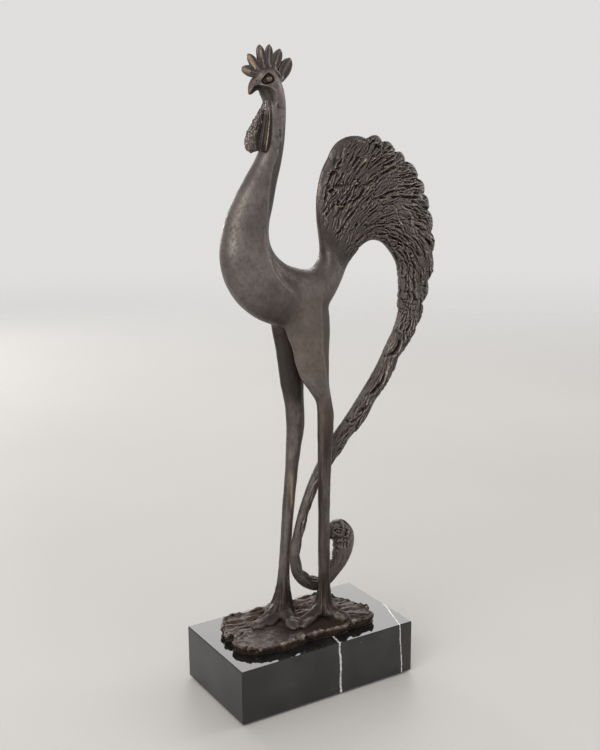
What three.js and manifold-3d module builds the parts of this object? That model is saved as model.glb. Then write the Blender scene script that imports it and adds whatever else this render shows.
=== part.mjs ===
// A standing bronze rooster on a polished marble plinth.
// Millimetres, +Z up. The origin is the middle of the resting face, under the plinth.
// X runs along the plinth's long side, the bird faces -X, and its left side faces -Y.
import * as THREE from 'three'
import { mergeVertices } from 'three/addons/utils/BufferGeometryUtils.js'
import Module from 'manifold-3d'

const wasm = await Module()
wasm.setup()

// Plinth and felt
const plinthLength = 210
const plinthWidth = 120
const marbleHeight = 58
const edgeBreak = 0.8
const feltThickness = 1.7
const feltInset = 4
const feltCornerRadius = 6
const seatGap = 0.3

// Studs, washers and nuts under the ground plate
const studRadius = 4
const studSpacing = 84
const studDepthInPlate = 5
const studHoleClearance = 0.5
const studTailLength = 2.5
const counterboreRadius = 12
const counterboreDepth = 16
const washerRadius = 9
const washerThickness = 1.6
const nutAcrossFlats = 13
const nutThickness = 6.5

// Ground plate
const plateThickness = 8
const plateMiddle = [-7, -8]
const plateLipHeight = 1.1
const plateRippleHeight = 1.2
const plateSpread = 1

// Bird: the middle plane's place across the plinth, and the legs' places beside it
const birdAside = 7
const legAside = 13
const dowelRadius = 4
const dowelLength = 26
const dowelClearance = 0.3
const eyeRadius = 3.9
const eyeAside = 10.4
const eyeRow = 19
const eyeShare = 0.327
const eyeRise = 2.86
const socketHalfLength = 7
const socketHalfHeight = 5.6
const socketHalfDepth = 3.4
const socketAside = 12.3
const socketRise = 0.4
const combHalfThickness = 4
const lockHeight = 5.2
const lockRelief = 1.7
const streamerHalfThickness = 5.5

const plinthTop = feltThickness + seatGap + marbleHeight
const wholeReach = 900
const tailEndReach = 70

// Seams between castings, in the bird's own frame: a point in the middle plane and the direction that it faces
const neckSeam = { at: [-20, 541], faces: [0.1, 1] }
const tailSeam = { at: [43, 391], faces: [33, 27] }
const streamerSeam = { at: [147, 325], faces: [-0.3, -1] }
const hipSeam = { near: [11, 312], far: [3, 312], faces: [0, -1] }

// Smooth curves and surfaces

// Reads rows of numbers at a place between the first row, 0, and the last, 1, on the smooth curve through them.
function readRows(rows, place) {
  const spot = place * (rows.length - 1)
  const first = Math.min(Math.floor(spot), rows.length - 2)
  const t = spot - first
  const before = rows[Math.max(first - 1, 0)]
  const from = rows[first]
  const to = rows[first + 1]
  const after = rows[Math.min(first + 2, rows.length - 1)]
  return from.map((value, k) => {
    const slope = to[k] - before[k]
    const bend = 2 * before[k] - 5 * value + 4 * to[k] - after[k]
    const twist = 3 * (value - to[k]) + after[k] - before[k]
    return value + 0.5 * t * (slope + t * (bend + t * twist))
  })
}

// Closes rings of points, all of one length, into a solid's surface with a fan over each end.
function skin(rings) {
  const around = rings[0].length
  const points = rings.flat()
  const faces = []
  for (let i = 0; i + 1 < rings.length; i++) {
    for (let j = 0; j < around; j++) {
      const a = i * around + j
      const b = i * around + (j + 1) % around
      faces.push([a, b, b + around], [a, b + around, a + around])
    }
  }
  for (const ring of [0, rings.length - 1]) {
    const middle = new THREE.Vector3()
    rings[ring].forEach((point) => middle.addScaledVector(point, 1 / around))
    points.push(middle)
    for (let j = 0; j < around; j++) {
      const edge = [ring * around + j, ring * around + (j + 1) % around]
      faces.push([points.length - 1, ...(ring ? edge : edge.reverse())])
    }
  }
  return shell(points, faces)
}

// A geometry of shared points and triangles, turned so that its faces point out.
function shell(points, faces) {
  let volume = 0
  for (const [a, b, c] of faces) {
    volume += points[a].dot(new THREE.Vector3().crossVectors(points[b], points[c]))
  }
  const outward = volume > 0 ? faces : faces.map(([a, b, c]) => [a, c, b])
  const geometry = new THREE.BufferGeometry().setFromPoints(points)
  geometry.setIndex(outward.flat())
  return geometry
}

// A closed geometry as a solid that can be joined and cut.
function solid(geometry) {
  const bare = geometry.clone()
  bare.deleteAttribute('normal')
  bare.deleteAttribute('uv')
  const merged = mergeVertices(bare, 1e-4)
  return new wasm.Manifold(new wasm.Mesh({
    numProp: 3,
    vertProperties: new Float32Array(merged.attributes.position.array),
    triVerts: new Uint32Array(merged.index.array),
  }))
}

// A solid's surface as a geometry.
function surface(body) {
  const { vertProperties, triVerts } = body.getMesh()
  const geometry = new THREE.BufferGeometry()
  geometry.setAttribute('position', new THREE.Float32BufferAttribute(vertProperties, 3))
  geometry.setIndex([...triVerts])
  return geometry
}

// A limb along a smooth curve. Each row is x, y, z, the half size along the lead vector, and the half size across it.
function limb(rows, steps, around, lead, squareness = 1) {
  const rings = []
  for (let i = 0; i <= steps; i++) {
    const [x, y, z, leadHalf, acrossHalf] = readRows(rows, i / steps)
    const ahead = new THREE.Vector3(...readRows(rows, Math.min(i / steps + 0.004, 1)))
    const behind = new THREE.Vector3(...readRows(rows, Math.max(i / steps - 0.004, 0)))
    const along = ahead.sub(behind).normalize()
    const up = lead.clone().addScaledVector(along, -lead.dot(along)).normalize()
    const across = new THREE.Vector3().crossVectors(along, up)
    rings.push(circle(around, squareness).map(([c, s]) => new THREE.Vector3(x, y, z)
      .addScaledVector(up, leadHalf * s).addScaledVector(across, acrossHalf * c)))
  }
  return skin(rings)
}

// Points round a unit circle, drawn towards a diamond above squareness 1 and towards a square below it.
function circle(count, squareness = 1) {
  const bend = (value) => Math.sign(value) * Math.abs(value) ** squareness
  return Array.from({ length: count }, (_, k) => {
    const angle = (2 * Math.PI * k) / count
    return [bend(Math.cos(angle)), bend(Math.sin(angle))]
  })
}

// A round bar between two points.
function bar(from, to, radius, sides = 12) {
  const length = from.distanceTo(to)
  const geometry = new THREE.CylinderGeometry(radius, radius, length, sides)
  geometry.translate(0, length / 2, 0)
  const turn = new THREE.Quaternion().setFromUnitVectors(
    new THREE.Vector3(0, 1, 0), to.clone().sub(from).normalize())
  geometry.applyQuaternion(turn)
  geometry.translate(from.x, from.y, from.z)
  return geometry
}

// Seams: the part of a casting on one side of a seam, and the dowel that lines the two castings up

function seamPoint([x, z], y = 0) {
  return new THREE.Vector3(x, y, z)
}

function seamDirection(seam) {
  return new THREE.Vector3(seam.faces[0], 0, seam.faces[1]).normalize()
}

// A block that stands on a plane at a point, lifted by some height along the plane's direction.
function blockPast(point, direction, size, lift) {
  const block = new THREE.BoxGeometry(size, size, size)
  block.translate(0, size / 2 + lift, 0)
  block.applyQuaternion(new THREE.Quaternion().setFromUnitVectors(new THREE.Vector3(0, 1, 0), direction))
  block.translate(point.x, point.y, point.z)
  return solid(block)
}

// Keeps what lies past a plane, less half the gap between the castings.
function keepPast(body, point, direction) {
  return body.intersect(blockPast(point, direction, wholeReach, seatGap / 2))
}

// Cuts off a casting's end just before a plane, by half the gap, and leaves what lies beside the end.
function trimPast(body, point, direction) {
  return body.subtract(blockPast(point, direction, tailEndReach, -seatGap / 2))
}

function dowel(point, direction, radius, length) {
  const from = point.clone().addScaledVector(direction, -length / 2)
  const to = point.clone().addScaledVector(direction, length / 2)
  return bar(from, to, radius)
}

// Body, neck and head: eggs between a front and a back point, widest at a ridge on each flank.
// Each row is front x, front z, back x, back z, half width, the ridge's share of the way back, and how sharp it is.
const bodyRows = [
  [57, 374, 33, 405, 14, 0.5, 1.1],
  [47, 358, 33, 397, 16.5, 0.5, 1.1],
  [35, 344, 31, 390, 20, 0.5, 1.15],
  [20, 328, 26, 385, 23, 0.5, 1.2],
  [-2, 324, 16, 383, 25, 0.55, 1.3],
  [-25, 330, 3, 385.5, 26, 0.58, 1.45],
  [-47, 341, -9, 390, 26, 0.6, 1.6],
  [-65, 358, -19, 397.5, 25, 0.62, 1.65],
  [-77, 380, -26, 406, 23.5, 0.63, 1.65],
  [-81, 406, -30, 417, 21.5, 0.64, 1.65],
  [-76, 434, -29.5, 432, 18.5, 0.64, 1.65],
  [-65, 457, -25, 450, 16, 0.64, 1.6],
  [-53, 476, -20, 470, 14, 0.62, 1.6],
  [-41, 494, -14.5, 490, 12.5, 0.58, 1.55],
  [-34, 511, -10.5, 510, 11.5, 0.5, 1.45],
  [-31.5, 528, -9, 528, 11, 0.46, 1.35],
  [-31, 543, -9, 544, 11, 0.45, 1.3],
  [-33, 551, -10, 552, 11.5, 0.5, 1.2],
  [-37, 557.5, -12, 560, 12, 0.53, 1.15],
  [-41, 564, -15, 567.5, 12, 0.55, 1.15],
  [-42, 570.5, -19, 573.5, 11, 0.55, 1.15],
  [-40, 576, -23, 578, 8.5, 0.55, 1.15],
  [-34, 579, -27.5, 579.5, 3.5, 0.5, 1.15],
]
const bodySteps = 46
const bodyAround = 20

// Beak along the middle plane: x, y, z, half width and half depth.
const beakRows = [
  [-32, 0, 568, 9, 8],
  [-39, 0, 565.5, 6.5, 7],
  [-44, 0, 561, 4.5, 5],
  [-47, 0, 556.5, 2.6, 3],
  [-48, 0, 554.3, 1, 1.2],
]

// Raised lines on the right side of the face: the brow over the eye, and the line from the mouth to the cheek.
// Each row is x, y, z and the half size twice.
const browRows = [
  [-39.5, 5.9, 568.6, 0.7, 0.7],
  [-37, 8, 572.3, 1.1, 1.1],
  [-32.8, 9.2, 575, 1.1, 1.1],
  [-28, 9.8, 573.2, 1.1, 1.1],
  [-24.6, 10.2, 569, 0.6, 0.6],
]
const mouthRows = [
  [-45.3, 2.5, 558.2, 0.6, 0.6],
  [-42, 5.2, 562.8, 1, 1],
  [-36, 8.4, 563.3, 1.2, 1.2],
  [-31.3, 10.5, 561.5, 1.2, 1.2],
  [-26.8, 11.2, 558, 0.7, 0.7],
]

function faceLine(rows, side) {
  const turned = rows.map(([x, y, ...rest]) => [x, side * y, ...rest])
  return solid(limb(turned, 8, 5, new THREE.Vector3(0, 1, 0)))
}

// The eyes' place on the head: along the body row just under them, and a little above it.
function eyePlace() {
  const [frontX, frontZ, backX, backZ] = bodyRows[eyeRow]
  return [frontX + (backX - frontX) * eyeShare, frontZ + (backZ - frontZ) * eyeShare + eyeRise]
}

// The hollow round an eye.
function socket(side) {
  const [eyeForward, eyeHeight] = eyePlace()
  const hollow = new THREE.SphereGeometry(1, 14, 8)
  hollow.scale(socketHalfLength, socketHalfDepth, socketHalfHeight)
  hollow.translate(eyeForward, side * socketAside, eyeHeight + socketRise)
  return solid(hollow)
}

function bodyRing(place, grow) {
  const [frontX, frontZ, backX, backZ, half, ridge, sharpness] = readRows(bodyRows, place)
  const length = Math.hypot(backX - frontX, backZ - frontZ)
  const [alongX, alongZ] = [(backX - frontX) / length, (backZ - frontZ) / length]
  return circle(bodyAround).map(([c, s]) => {
    const toBack = (length * (1 - ridge) + grow) * Math.abs(c) ** sharpness
    const toFront = -(length * ridge + grow) * Math.abs(c)
    const reach = length * ridge + (c > 0 ? toBack : toFront)
    return new THREE.Vector3(frontX + alongX * reach, (half + grow) * s, frontZ + alongZ * reach)
  })
}

// The body with neck and head, grown on all sides to cut a seat with the gap in what lies against it.
function bodySolid(grow = 0) {
  const rings = Array.from({ length: bodySteps + 1 }, (_, k) => bodyRing(k / bodySteps, grow))
  const beak = beakRows.map(([x, y, z, wide, deep]) => [x, y, z, wide + grow, deep + grow])
  return solid(skin(rings)).add(solid(limb(beak, 8, 12, new THREE.Vector3(0, 1, 0))))
}

// Legs: level eggs. Each row is height, x of the middle, half depth, half width, the ridge's share of the way back,
// and how sharp the ridge is.
const nearLegRows = [
  [370, 5, 12, 4, 0.6, 1.3],
  [358, 6.5, 21, 9, 0.66, 1.4],
  [342, 7.5, 25.5, 12, 0.68, 1.5],
  [324, 8.5, 25.5, 13, 0.68, 1.6],
  [306, 11.5, 21.5, 12, 0.68, 1.6],
  [289, 13.5, 19.5, 11, 0.68, 1.55],
  [272, 17, 16, 10.2, 0.66, 1.5],
  [258, 22.5, 11.5, 9.3, 0.62, 1.4],
  [247, 27, 9, 8.8, 0.56, 1.25],
  [236, 28.8, 8.6, 8.6, 0.52, 1.2],
  [221, 29.2, 8.8, 8.6, 0.5, 1.2],
  [205, 28.8, 8.4, 8, 0.5, 1.2],
  [186, 28.2, 7.7, 7.3, 0.5, 1.15],
  [158, 27.4, 6.9, 6.6, 0.5, 1.1],
  [125, 27, 6.4, 6.3, 0.5, 1.1],
  [90, 27, 6.4, 6.3, 0.5, 1.1],
  [55, 27, 6.4, 6.3, 0.5, 1.1],
  [38, 26.8, 6.8, 6.5, 0.5, 1.1],
  [28, 26.2, 8.4, 7.6, 0.5, 1.1],
  [18, 25.5, 11.2, 9.8, 0.5, 1],
  [10, 25, 14.5, 12.5, 0.5, 1],
]
const farLegRows = [
  [370, -2, 11, 4, 0.6, 1.2],
  [358, -1, 18, 9, 0.6, 1.3],
  [342, 0, 22, 12, 0.6, 1.4],
  [322, 2, 20, 13, 0.6, 1.5],
  [297, 3.4, 16.4, 12, 0.6, 1.5],
  [277, 4, 14.4, 11, 0.6, 1.45],
  [262, 4.6, 13, 10.2, 0.58, 1.4],
  [250, 6, 11.6, 9.6, 0.55, 1.3],
  [238, 7.6, 10.6, 9.2, 0.52, 1.25],
  [225, 8.2, 10.2, 9, 0.5, 1.2],
  [212, 8, 9.8, 8.6, 0.5, 1.2],
  [195, 5.8, 8.4, 7.7, 0.5, 1.2],
  [178, 4, 7.5, 7, 0.5, 1.15],
  [155, 1.5, 6.9, 6.6, 0.5, 1.15],
  [125, -1.8, 6.5, 6.4, 0.5, 1.1],
  [90, -5, 6.2, 6.2, 0.5, 1.1],
  [55, -8, 6.3, 6.3, 0.5, 1.1],
  [40, -9, 6.9, 6.7, 0.5, 1.1],
  [29, -10, 8.8, 8, 0.5, 1.1],
  [18, -11, 11.8, 10.2, 0.5, 1],
  [10, -11.5, 15, 13, 0.5, 1],
]
const legSteps = 31
const legAround = 12

// Toes: the tip's x and y from the ankle, and the half width where the toe leaves the ankle.
const nearToes = [[-41, -16, 6.4], [13, -30, 6.4], [25, 5, 6]]
const farToes = [[-48, -21, 7], [-30, -22, 6], [-10, -45, 6], [-14, 16, 5.4]]
const toeSquash = 0.72

function toe(ankle, [tipX, tipY, half], plateTop) {
  const point = (share, height, size) => [
    ankle[0] + tipX * share, ankle[1] + tipY * share, plateTop + height, size * toeSquash, size]
  return limb([
    point(0, 15, half * 1.1),
    point(0.16, 10, half * 1.2),
    point(0.36, 5, half * 1.1),
    point(0.6, 2.8, half * 0.95),
    point(0.8, 2.2, half * 0.85),
    point(0.95, 1.2, half * 0.5),
    point(1, 0.5, half * 0.2),
  ], 9, 8, new THREE.Vector3(0, 0, 1))
}

function legSolid(rows, side, toes, ground) {
  const aside = side * legAside
  const rings = Array.from({ length: legSteps + 1 }, (_, k) => {
    const [z, x, deep, wide, ridge, sharpness] = readRows(rows, k / legSteps)
    return circle(legAround).map(([c, s]) => {
      const share = ridge + (c > 0 ? (1 - ridge) * c ** sharpness : ridge * c)
      return new THREE.Vector3(x + deep * (2 * share - 1), aside + wide * s, z)
    })
  })
  const ankle = [rows.at(-1)[1], aside]
  const whole = toes.reduce(
    (body, one) => body.add(solid(toe(ankle, one, plateThickness))), solid(skin(rings)))
  return whole.subtract(ground)
}

// Tail plume: slices from its inner arch to its outer edge.
// Each row is inner x, inner z, outer x, outer z and half thickness.
const plumeRows = [
  [48, 358, 33, 396, 14],
  [57, 374, 31, 409, 14],
  [63, 383, 27.5, 433, 13],
  [68, 389, 27.5, 458, 13],
  [73, 395, 34.5, 483, 13],
  [79, 401, 51, 503, 14],
  [86, 405, 76, 510, 14],
  [93, 407, 103, 508, 14],
  [100, 406.5, 123, 496, 14],
  [107, 404, 142, 481, 13],
  [113, 399.5, 156, 463, 12.5],
  [119, 393, 164, 443.5, 12],
  [124, 386, 170, 423, 11.5],
  [128.5, 377, 173.5, 398, 11],
  [131, 365, 172.5, 374, 10],
  [131.5, 348, 167.5, 350, 9],
  [130.3, 332, 161, 332, 8],
  [128.5, 320, 156, 319, 7.5],
]
// Places of the notches between the feather tips, counted in rows.
const notchPlaces = [4.4, 6.4, 7.15, 8, 8.65, 9.75, 10.6, 11.45, 12.5, 13.4, 14.65, 16, 17.4]
const lockDrift = 2.6
const plumeSteps = 76
const plumeAround = 16

// How far a place lies through its feather tip: 0 and 1 at the notches on either side, or null before the first.
function throughTip(row) {
  const next = notchPlaces.findIndex((notch) => notch > row)
  if (next < 1) return null
  return (row - notchPlaces[next - 1]) / (notchPlaces[next] - notchPlaces[next - 1])
}

// Height of a feather tip from 0 at its notches to 1, fuller on the side that points down the tail.
function tipShape(row) {
  const share = throughTip(row)
  return share === null ? 0 : Math.sin(Math.PI * share ** 1.25) ** 0.7
}

function plumeSolid() {
  const lastRow = plumeRows.length - 1
  const rings = Array.from({ length: plumeSteps + 1 }, (_, k) => {
    const place = k / plumeSteps
    const [innerX, innerZ, outerX, outerZ, half] = readRows(plumeRows, place)
    const tip = tipShape(place * lastRow)
    const length = Math.hypot(outerX - innerX, outerZ - innerZ)
    const whole = length + lockHeight * tip
    return circle(plumeAround).map(([c, s]) => {
      const share = (1 - c) / 2
      const sweep = tipShape(place * lastRow - lockDrift * (1 - share) ** 2)
      const thin = 1 - 0.35 * share
      const relief = lockRelief * (sweep - 0.5) * Math.sin(Math.PI * share)
      const y = (half * thin * Math.abs(s) ** 0.85 + (throughTip(place * lastRow) === null ? 0 : relief))
      const reach = whole * share / length
      return new THREE.Vector3(
        innerX + (outerX - innerX) * reach, Math.sign(s) * (Math.abs(s) < 1e-9 ? 0 : y),
        innerZ + (outerZ - innerZ) * reach)
    })
  })
  return solid(skin(rings))
}

// Streamer: the long tail feather. Each row is x, z, half width and half thickness over the usual one.
const streamerRows = [
  [152.5, 345, 17.4, 1.5],
  [144.2, 321, 15, 1.3],
  [135.5, 303, 12.6, 1.15],
  [124.5, 287, 11.5, 1],
  [111, 264.5, 10.9, 1],
  [92.5, 240, 10.7, 1],
  [73.3, 216.7, 10.6, 1],
  [51.7, 194.4, 9.3, 1],
  [34.6, 172.6, 7.5, 1],
  [21.4, 152.4, 5.6, 1],
  [10.8, 128, 5.2, 1],
  [3.3, 104, 4.9, 1],
  [-1.5, 84, 4.9, 1],
  [-1.6, 68, 5.3, 1],
  [1, 57, 5.9, 1],
  [7.5, 48, 6.5, 1],
  [15.8, 41.7, 7, 1],
  [25.5, 37.5, 7.3, 1],
  [36, 39.3, 7.4, 1],
  [46, 47, 8, 1.1],
  [55, 58, 9.6, 1.3],
  [60.5, 71, 11.6, 1.5],
  [60.5, 86, 12.6, 1.6],
  [53, 95.5, 11.6, 1.6],
  [45, 94.5, 9.4, 1.4],
  [39.5, 89.5, 5, 0.8],
]
const streamerSteps = 58
const streamerAround = 10

function streamerSolid() {
  const rows = streamerRows.map(([x, z, half, thick]) => [x, 0, z, thick * streamerHalfThickness, half])
  return solid(limb(rows, streamerSteps, streamerAround, new THREE.Vector3(0, 1, 0)))
}

// Comb: leaves that fan out of a low root. Each row is root x and z, tip x and z, and half width.
const combLeaves = [
  [-37, 573, -56, 578.5, 5.2],
  [-36, 575, -49, 591.5, 4.6],
  [-32, 577, -36.5, 600, 5],
  [-27, 578, -25.5, 600.5, 4.6],
  [-22, 576, -13.5, 596.5, 5.4],
  [-15, 567.5, -2.2, 588.3, 6.8],
]
const leafShape = [0.62, 0.8, 0.98, 1, 0.8, 0.36]

function combSolid(headCut) {
  const leaves = combLeaves.map(([rootX, rootZ, tipX, tipZ, half]) => {
    const rows = leafShape.map((size, k) => {
      const share = k / (leafShape.length - 1)
      const [x, z] = [rootX + (tipX - rootX) * share, rootZ + (tipZ - rootZ) * share]
      return [x, 0, z, combHalfThickness * (1 - 0.3 * share) * size ** 0.5, half * size]
    })
    return solid(limb(rows, 6, 8, new THREE.Vector3(0, 1, 0)))
  })
  return leaves.reduce((comb, leaf) => comb.add(leaf)).subtract(headCut)
}

// Wattles: drops that hang under the beak. Each row is x, y, z, half thickness and half depth.
const nearWattleRows = [
  [-30.5, -6, 544, 2.2, 2.2],
  [-32, -7.6, 537, 3.2, 3.6],
  [-34, -8.6, 526, 4, 5],
  [-36, -9, 514, 4.6, 6.4],
  [-37, -8.6, 506, 4.4, 6],
  [-37, -8, 501.5, 2.2, 2.8],
]
const farWattleRows = [
  [-29.5, 2.5, 545, 2.2, 2.2],
  [-31.5, 4, 537, 3.2, 4.2],
  [-35.5, 5, 526, 4, 7.2],
  [-40, 5.5, 514, 4.6, 9.6],
  [-41, 5.5, 507, 4.4, 9.4],
  [-40.5, 5, 501.5, 2.2, 4.6],
]

function wattleSolid(rows, cut) {
  return solid(limb(rows, 10, 10, new THREE.Vector3(0, 1, 0))).subtract(cut)
}

// Ground plate: a low, lobed slab with a lip and ripples. Each row is an outline point from the plate's middle.
const plateOutline = [
  [-70, 36], [-79, 18], [-78, -4], [-83, -14], [-78, -30], [-57, -40], [-34, -45], [-12, -41],
  [12, -42], [34, -45], [48, -41], [72, -41], [78, -36], [83, -16], [78, 2], [68, 27], [52, 41],
  [21, 42], [-16, 42], [-40, 43], [-60, 44],
]
const plateAround = 48
// Each row is the share of the outline and the share of the thickness, from the underside to the top's middle.
const plateProfile = [
  [0.5, 0], [0.97, 0], [1, 0.25], [1.005, 0.6], [0.985, 0.9], [0.95, 1], [0.88, 0.93], [0.78, 0.88],
  [0.65, 0.88], [0.5, 0.88], [0.32, 0.88], [0.15, 0.88],
]

// Height of the plate's top over its flat level: ripples at the back and the ends, none at the front middle.
function plateRipple(x, y) {
  const away = Math.min(1, Math.max(0, (y + 12) / 30) + Math.max(0, (Math.abs(x) - 46) / 22))
  return plateRippleHeight * away * Math.sin(0.24 * x + 0.5 * Math.sin(0.12 * y)) * Math.cos(0.21 * y + 0.05 * x)
}

function plateSolid(raise = 0) {
  const closed = [...plateOutline, plateOutline[0]]
  const rings = plateProfile.map(([spread, height]) => Array.from({ length: plateAround }, (_, k) => {
    const [x, y] = readRows(closed, k / plateAround)
    const [farX, farY] = [x * spread * plateSpread, y * spread * plateSpread]
    const top = height > 0.85 && spread < 0.97
    const lip = spread > 0.9 && height > 0.85 ? plateLipHeight : 0
    const ripple = top && spread < 0.9 ? plateRipple(farX, farY) : 0
    const lift = height > 0 ? raise : 0
    return new THREE.Vector3(farX, farY, height * plateThickness + lip + ripple + lift)
  }))
  const plate = skin(rings)
  plate.translate(plateMiddle[0], plateMiddle[1], seatGap)
  return solid(plate)
}

// Studs, nuts and washers stand in two places under the ground plate.
const studPlaces = [-1, 1].map((side) => plateMiddle[0] + side * studSpacing / 2)
const studAside = birdAside + plateMiddle[1]
const counterboreRoof = feltThickness + seatGap + counterboreDepth
const washerTop = counterboreRoof - seatGap
const nutTop = washerTop - washerThickness - seatGap
const nutBottom = nutTop - nutThickness

function upright(x, y, low, high, radius, sides = 16) {
  return bar(new THREE.Vector3(x, y, low), new THREE.Vector3(x, y, high), radius, sides)
}

// A round or hexagonal ring that stands on end.
function pierced(x, y, low, high, radius, sides, holeRadius) {
  const body = solid(upright(x, y, low, high, radius, sides))
  return body.subtract(solid(upright(x, y, low - 1, high + 1, holeRadius)))
}

// A flat slab with its upright corners rounded and its level edges broken.
function slab(length, width, thickness, cornerRadius, edge) {
  const [halfX, halfY] = [length / 2 - edge, width / 2 - edge]
  const corner = Math.max(cornerRadius - edge, 0.01)
  const outline = new THREE.Shape()
  outline.moveTo(-halfX + corner, -halfY)
  outline.lineTo(halfX - corner, -halfY)
  outline.absarc(halfX - corner, -halfY + corner, corner, -Math.PI / 2, 0)
  outline.lineTo(halfX, halfY - corner)
  outline.absarc(halfX - corner, halfY - corner, corner, 0, Math.PI / 2)
  outline.lineTo(-halfX + corner, halfY)
  outline.absarc(-halfX + corner, halfY - corner, corner, Math.PI / 2, Math.PI)
  outline.lineTo(-halfX, -halfY + corner)
  outline.absarc(-halfX + corner, -halfY + corner, corner, Math.PI, 1.5 * Math.PI)
  const geometry = new THREE.ExtrudeGeometry(outline, {
    depth: thickness - 2 * edge,
    bevelEnabled: edge > 0,
    bevelThickness: edge,
    bevelSize: edge,
    bevelSegments: 1,
    curveSegments: 5,
  })
  geometry.translate(0, 0, edge)
  return geometry
}

function marble() {
  const block = slab(plinthLength, plinthWidth, marbleHeight, edgeBreak, edgeBreak)
  block.translate(0, 0, feltThickness + seatGap)
  return studPlaces.reduce((body, x) => body
    .subtract(solid(upright(x, studAside, 0, plinthTop + 5, studRadius + studHoleClearance)))
    .subtract(solid(upright(x, studAside, 0, counterboreRoof, counterboreRadius))), solid(block))
}

// Materials, by colour, roughness and metalness
function finish(color, roughness, metalness) {
  return () => new THREE.MeshStandardMaterial({ color, roughness, metalness })
}
const bronze = finish(0x4a423c, 0.42, 0.85)
const goldenBronze = finish(0x7d6848, 0.36, 0.9)
const earthBronze = finish(0x4b3b31, 0.5, 0.8)
const blackMarble = finish(0x0c0b0c, 0.06, 0)
const greenFelt = finish(0x23282a, 0.95, 0)
const steel = finish(0x8f9296, 0.35, 1)
const pinBronze = finish(0x9a7b4f, 0.4, 1)

const part = new THREE.Group()
const bird = new THREE.Group()
bird.position.set(0, birdAside, plinthTop)
part.add(bird)

function place(parent, name, geometry, material) {
  const shown = geometry.index ? geometry.toNonIndexed() : geometry
  shown.computeVertexNormals()
  const mesh = new THREE.Mesh(shown, material())
  mesh.name = name
  parent.add(mesh)
}

// Castings in the bird's own frame, whose bottom is the plinth's top
const groundPlate = plateSolid()
const groundCut = plateSolid(seatGap)
const bodyWhole = bodySolid()
const bodyCut = bodySolid(seatGap)
const nearLegWhole = legSolid(nearLegRows, -1, nearToes, groundCut)
const farLegWhole = legSolid(farLegRows, 1, farToes, groundCut)

const neckPoint = seamPoint(neckSeam.at)
const neckUp = seamDirection(neckSeam)
const tailPoint = seamPoint(tailSeam.at)
const tailBack = seamDirection(tailSeam)
const streamerPoint = seamPoint(streamerSeam.at)
const streamerDown = seamDirection(streamerSeam)
const nearHip = seamPoint(hipSeam.near, -legAside)
const farHip = seamPoint(hipSeam.far, legAside)
const hipDown = seamDirection(hipSeam)

const dowels = {
  neck_dowel: [neckPoint, neckUp],
  tail_dowel: [tailPoint, tailBack],
  streamer_dowel: [streamerPoint, streamerDown],
  left_hip_dowel: [nearHip, hipDown],
  right_hip_dowel: [farHip, hipDown],
}
const dowelBore = (name) => solid(
  dowel(...dowels[name], dowelRadius + dowelClearance, dowelLength + 2 * dowelClearance))

const thighs = keepPast(nearLegWhole, nearHip, hipDown.clone().negate())
  .add(keepPast(farLegWhole, farHip, hipDown.clone().negate()))
const belowNeck = keepPast(bodyWhole, neckPoint, neckUp.clone().negate())
const torso = trimPast(belowNeck, tailPoint, tailBack).add(thighs)
  .subtract(dowelBore('neck_dowel')).subtract(dowelBore('tail_dowel'))
  .subtract(dowelBore('left_hip_dowel')).subtract(dowelBore('right_hip_dowel'))

const [eyeX, eyeZ] = eyePlace()
const eyePoints = [-1, 1].map((side) => new THREE.Vector3(eyeX, side * eyeAside, eyeZ))
const eyeBall = (point, radius) => {
  const ball = new THREE.SphereGeometry(radius, 12, 8)
  ball.translate(point.x, point.y, point.z)
  return solid(ball)
}
const bareHead = keepPast(bodyWhole, neckPoint, neckUp).subtract(dowelBore('neck_dowel'))
const head = [-1, 1].reduce((body, side) => body
  .subtract(socket(side))
  .add(faceLine(browRows, side))
  .add(faceLine(mouthRows, side))
  .subtract(eyeBall(eyePoints[(side + 1) / 2], eyeRadius + seatGap)), bareHead)

const plume = keepPast(keepPast(plumeSolid(), tailPoint, tailBack), streamerPoint,
  streamerDown.clone().negate()).subtract(dowelBore('tail_dowel')).subtract(dowelBore('streamer_dowel'))
const streamer = keepPast(streamerSolid(), streamerPoint, streamerDown).subtract(dowelBore('streamer_dowel'))
const leftLeg = keepPast(nearLegWhole, nearHip, hipDown).subtract(dowelBore('left_hip_dowel'))
const rightLeg = keepPast(farLegWhole, farHip, hipDown).subtract(dowelBore('right_hip_dowel'))

const studSockets = studPlaces.map((x) => solid(
  upright(x, plateMiddle[1], -1, seatGap + studDepthInPlate + seatGap, studRadius + seatGap)))
const drilledPlate = studSockets.reduce((body, socket) => body.subtract(socket), groundPlate)

place(bird, 'torso', surface(torso), bronze)
place(bird, 'head', surface(head), bronze)
place(bird, 'comb', surface(combSolid(bodyCut)), goldenBronze)
place(bird, 'left_wattle', surface(wattleSolid(nearWattleRows, bodyCut)), bronze)
place(bird, 'right_wattle', surface(wattleSolid(farWattleRows, bodyCut)), bronze)
place(bird, 'left_eye', surface(eyeBall(eyePoints[0], eyeRadius)), bronze)
place(bird, 'right_eye', surface(eyeBall(eyePoints[1], eyeRadius)), bronze)
place(bird, 'tail_plume', surface(plume), bronze)
place(bird, 'tail_streamer', surface(streamer), bronze)
place(bird, 'left_leg', surface(leftLeg), bronze)
place(bird, 'right_leg', surface(rightLeg), bronze)
place(bird, 'ground_plate', surface(drilledPlate), earthBronze)
for (const [name, [point, direction]] of Object.entries(dowels)) {
  place(bird, name, dowel(point, direction, dowelRadius, dowelLength), pinBronze)
}

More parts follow.
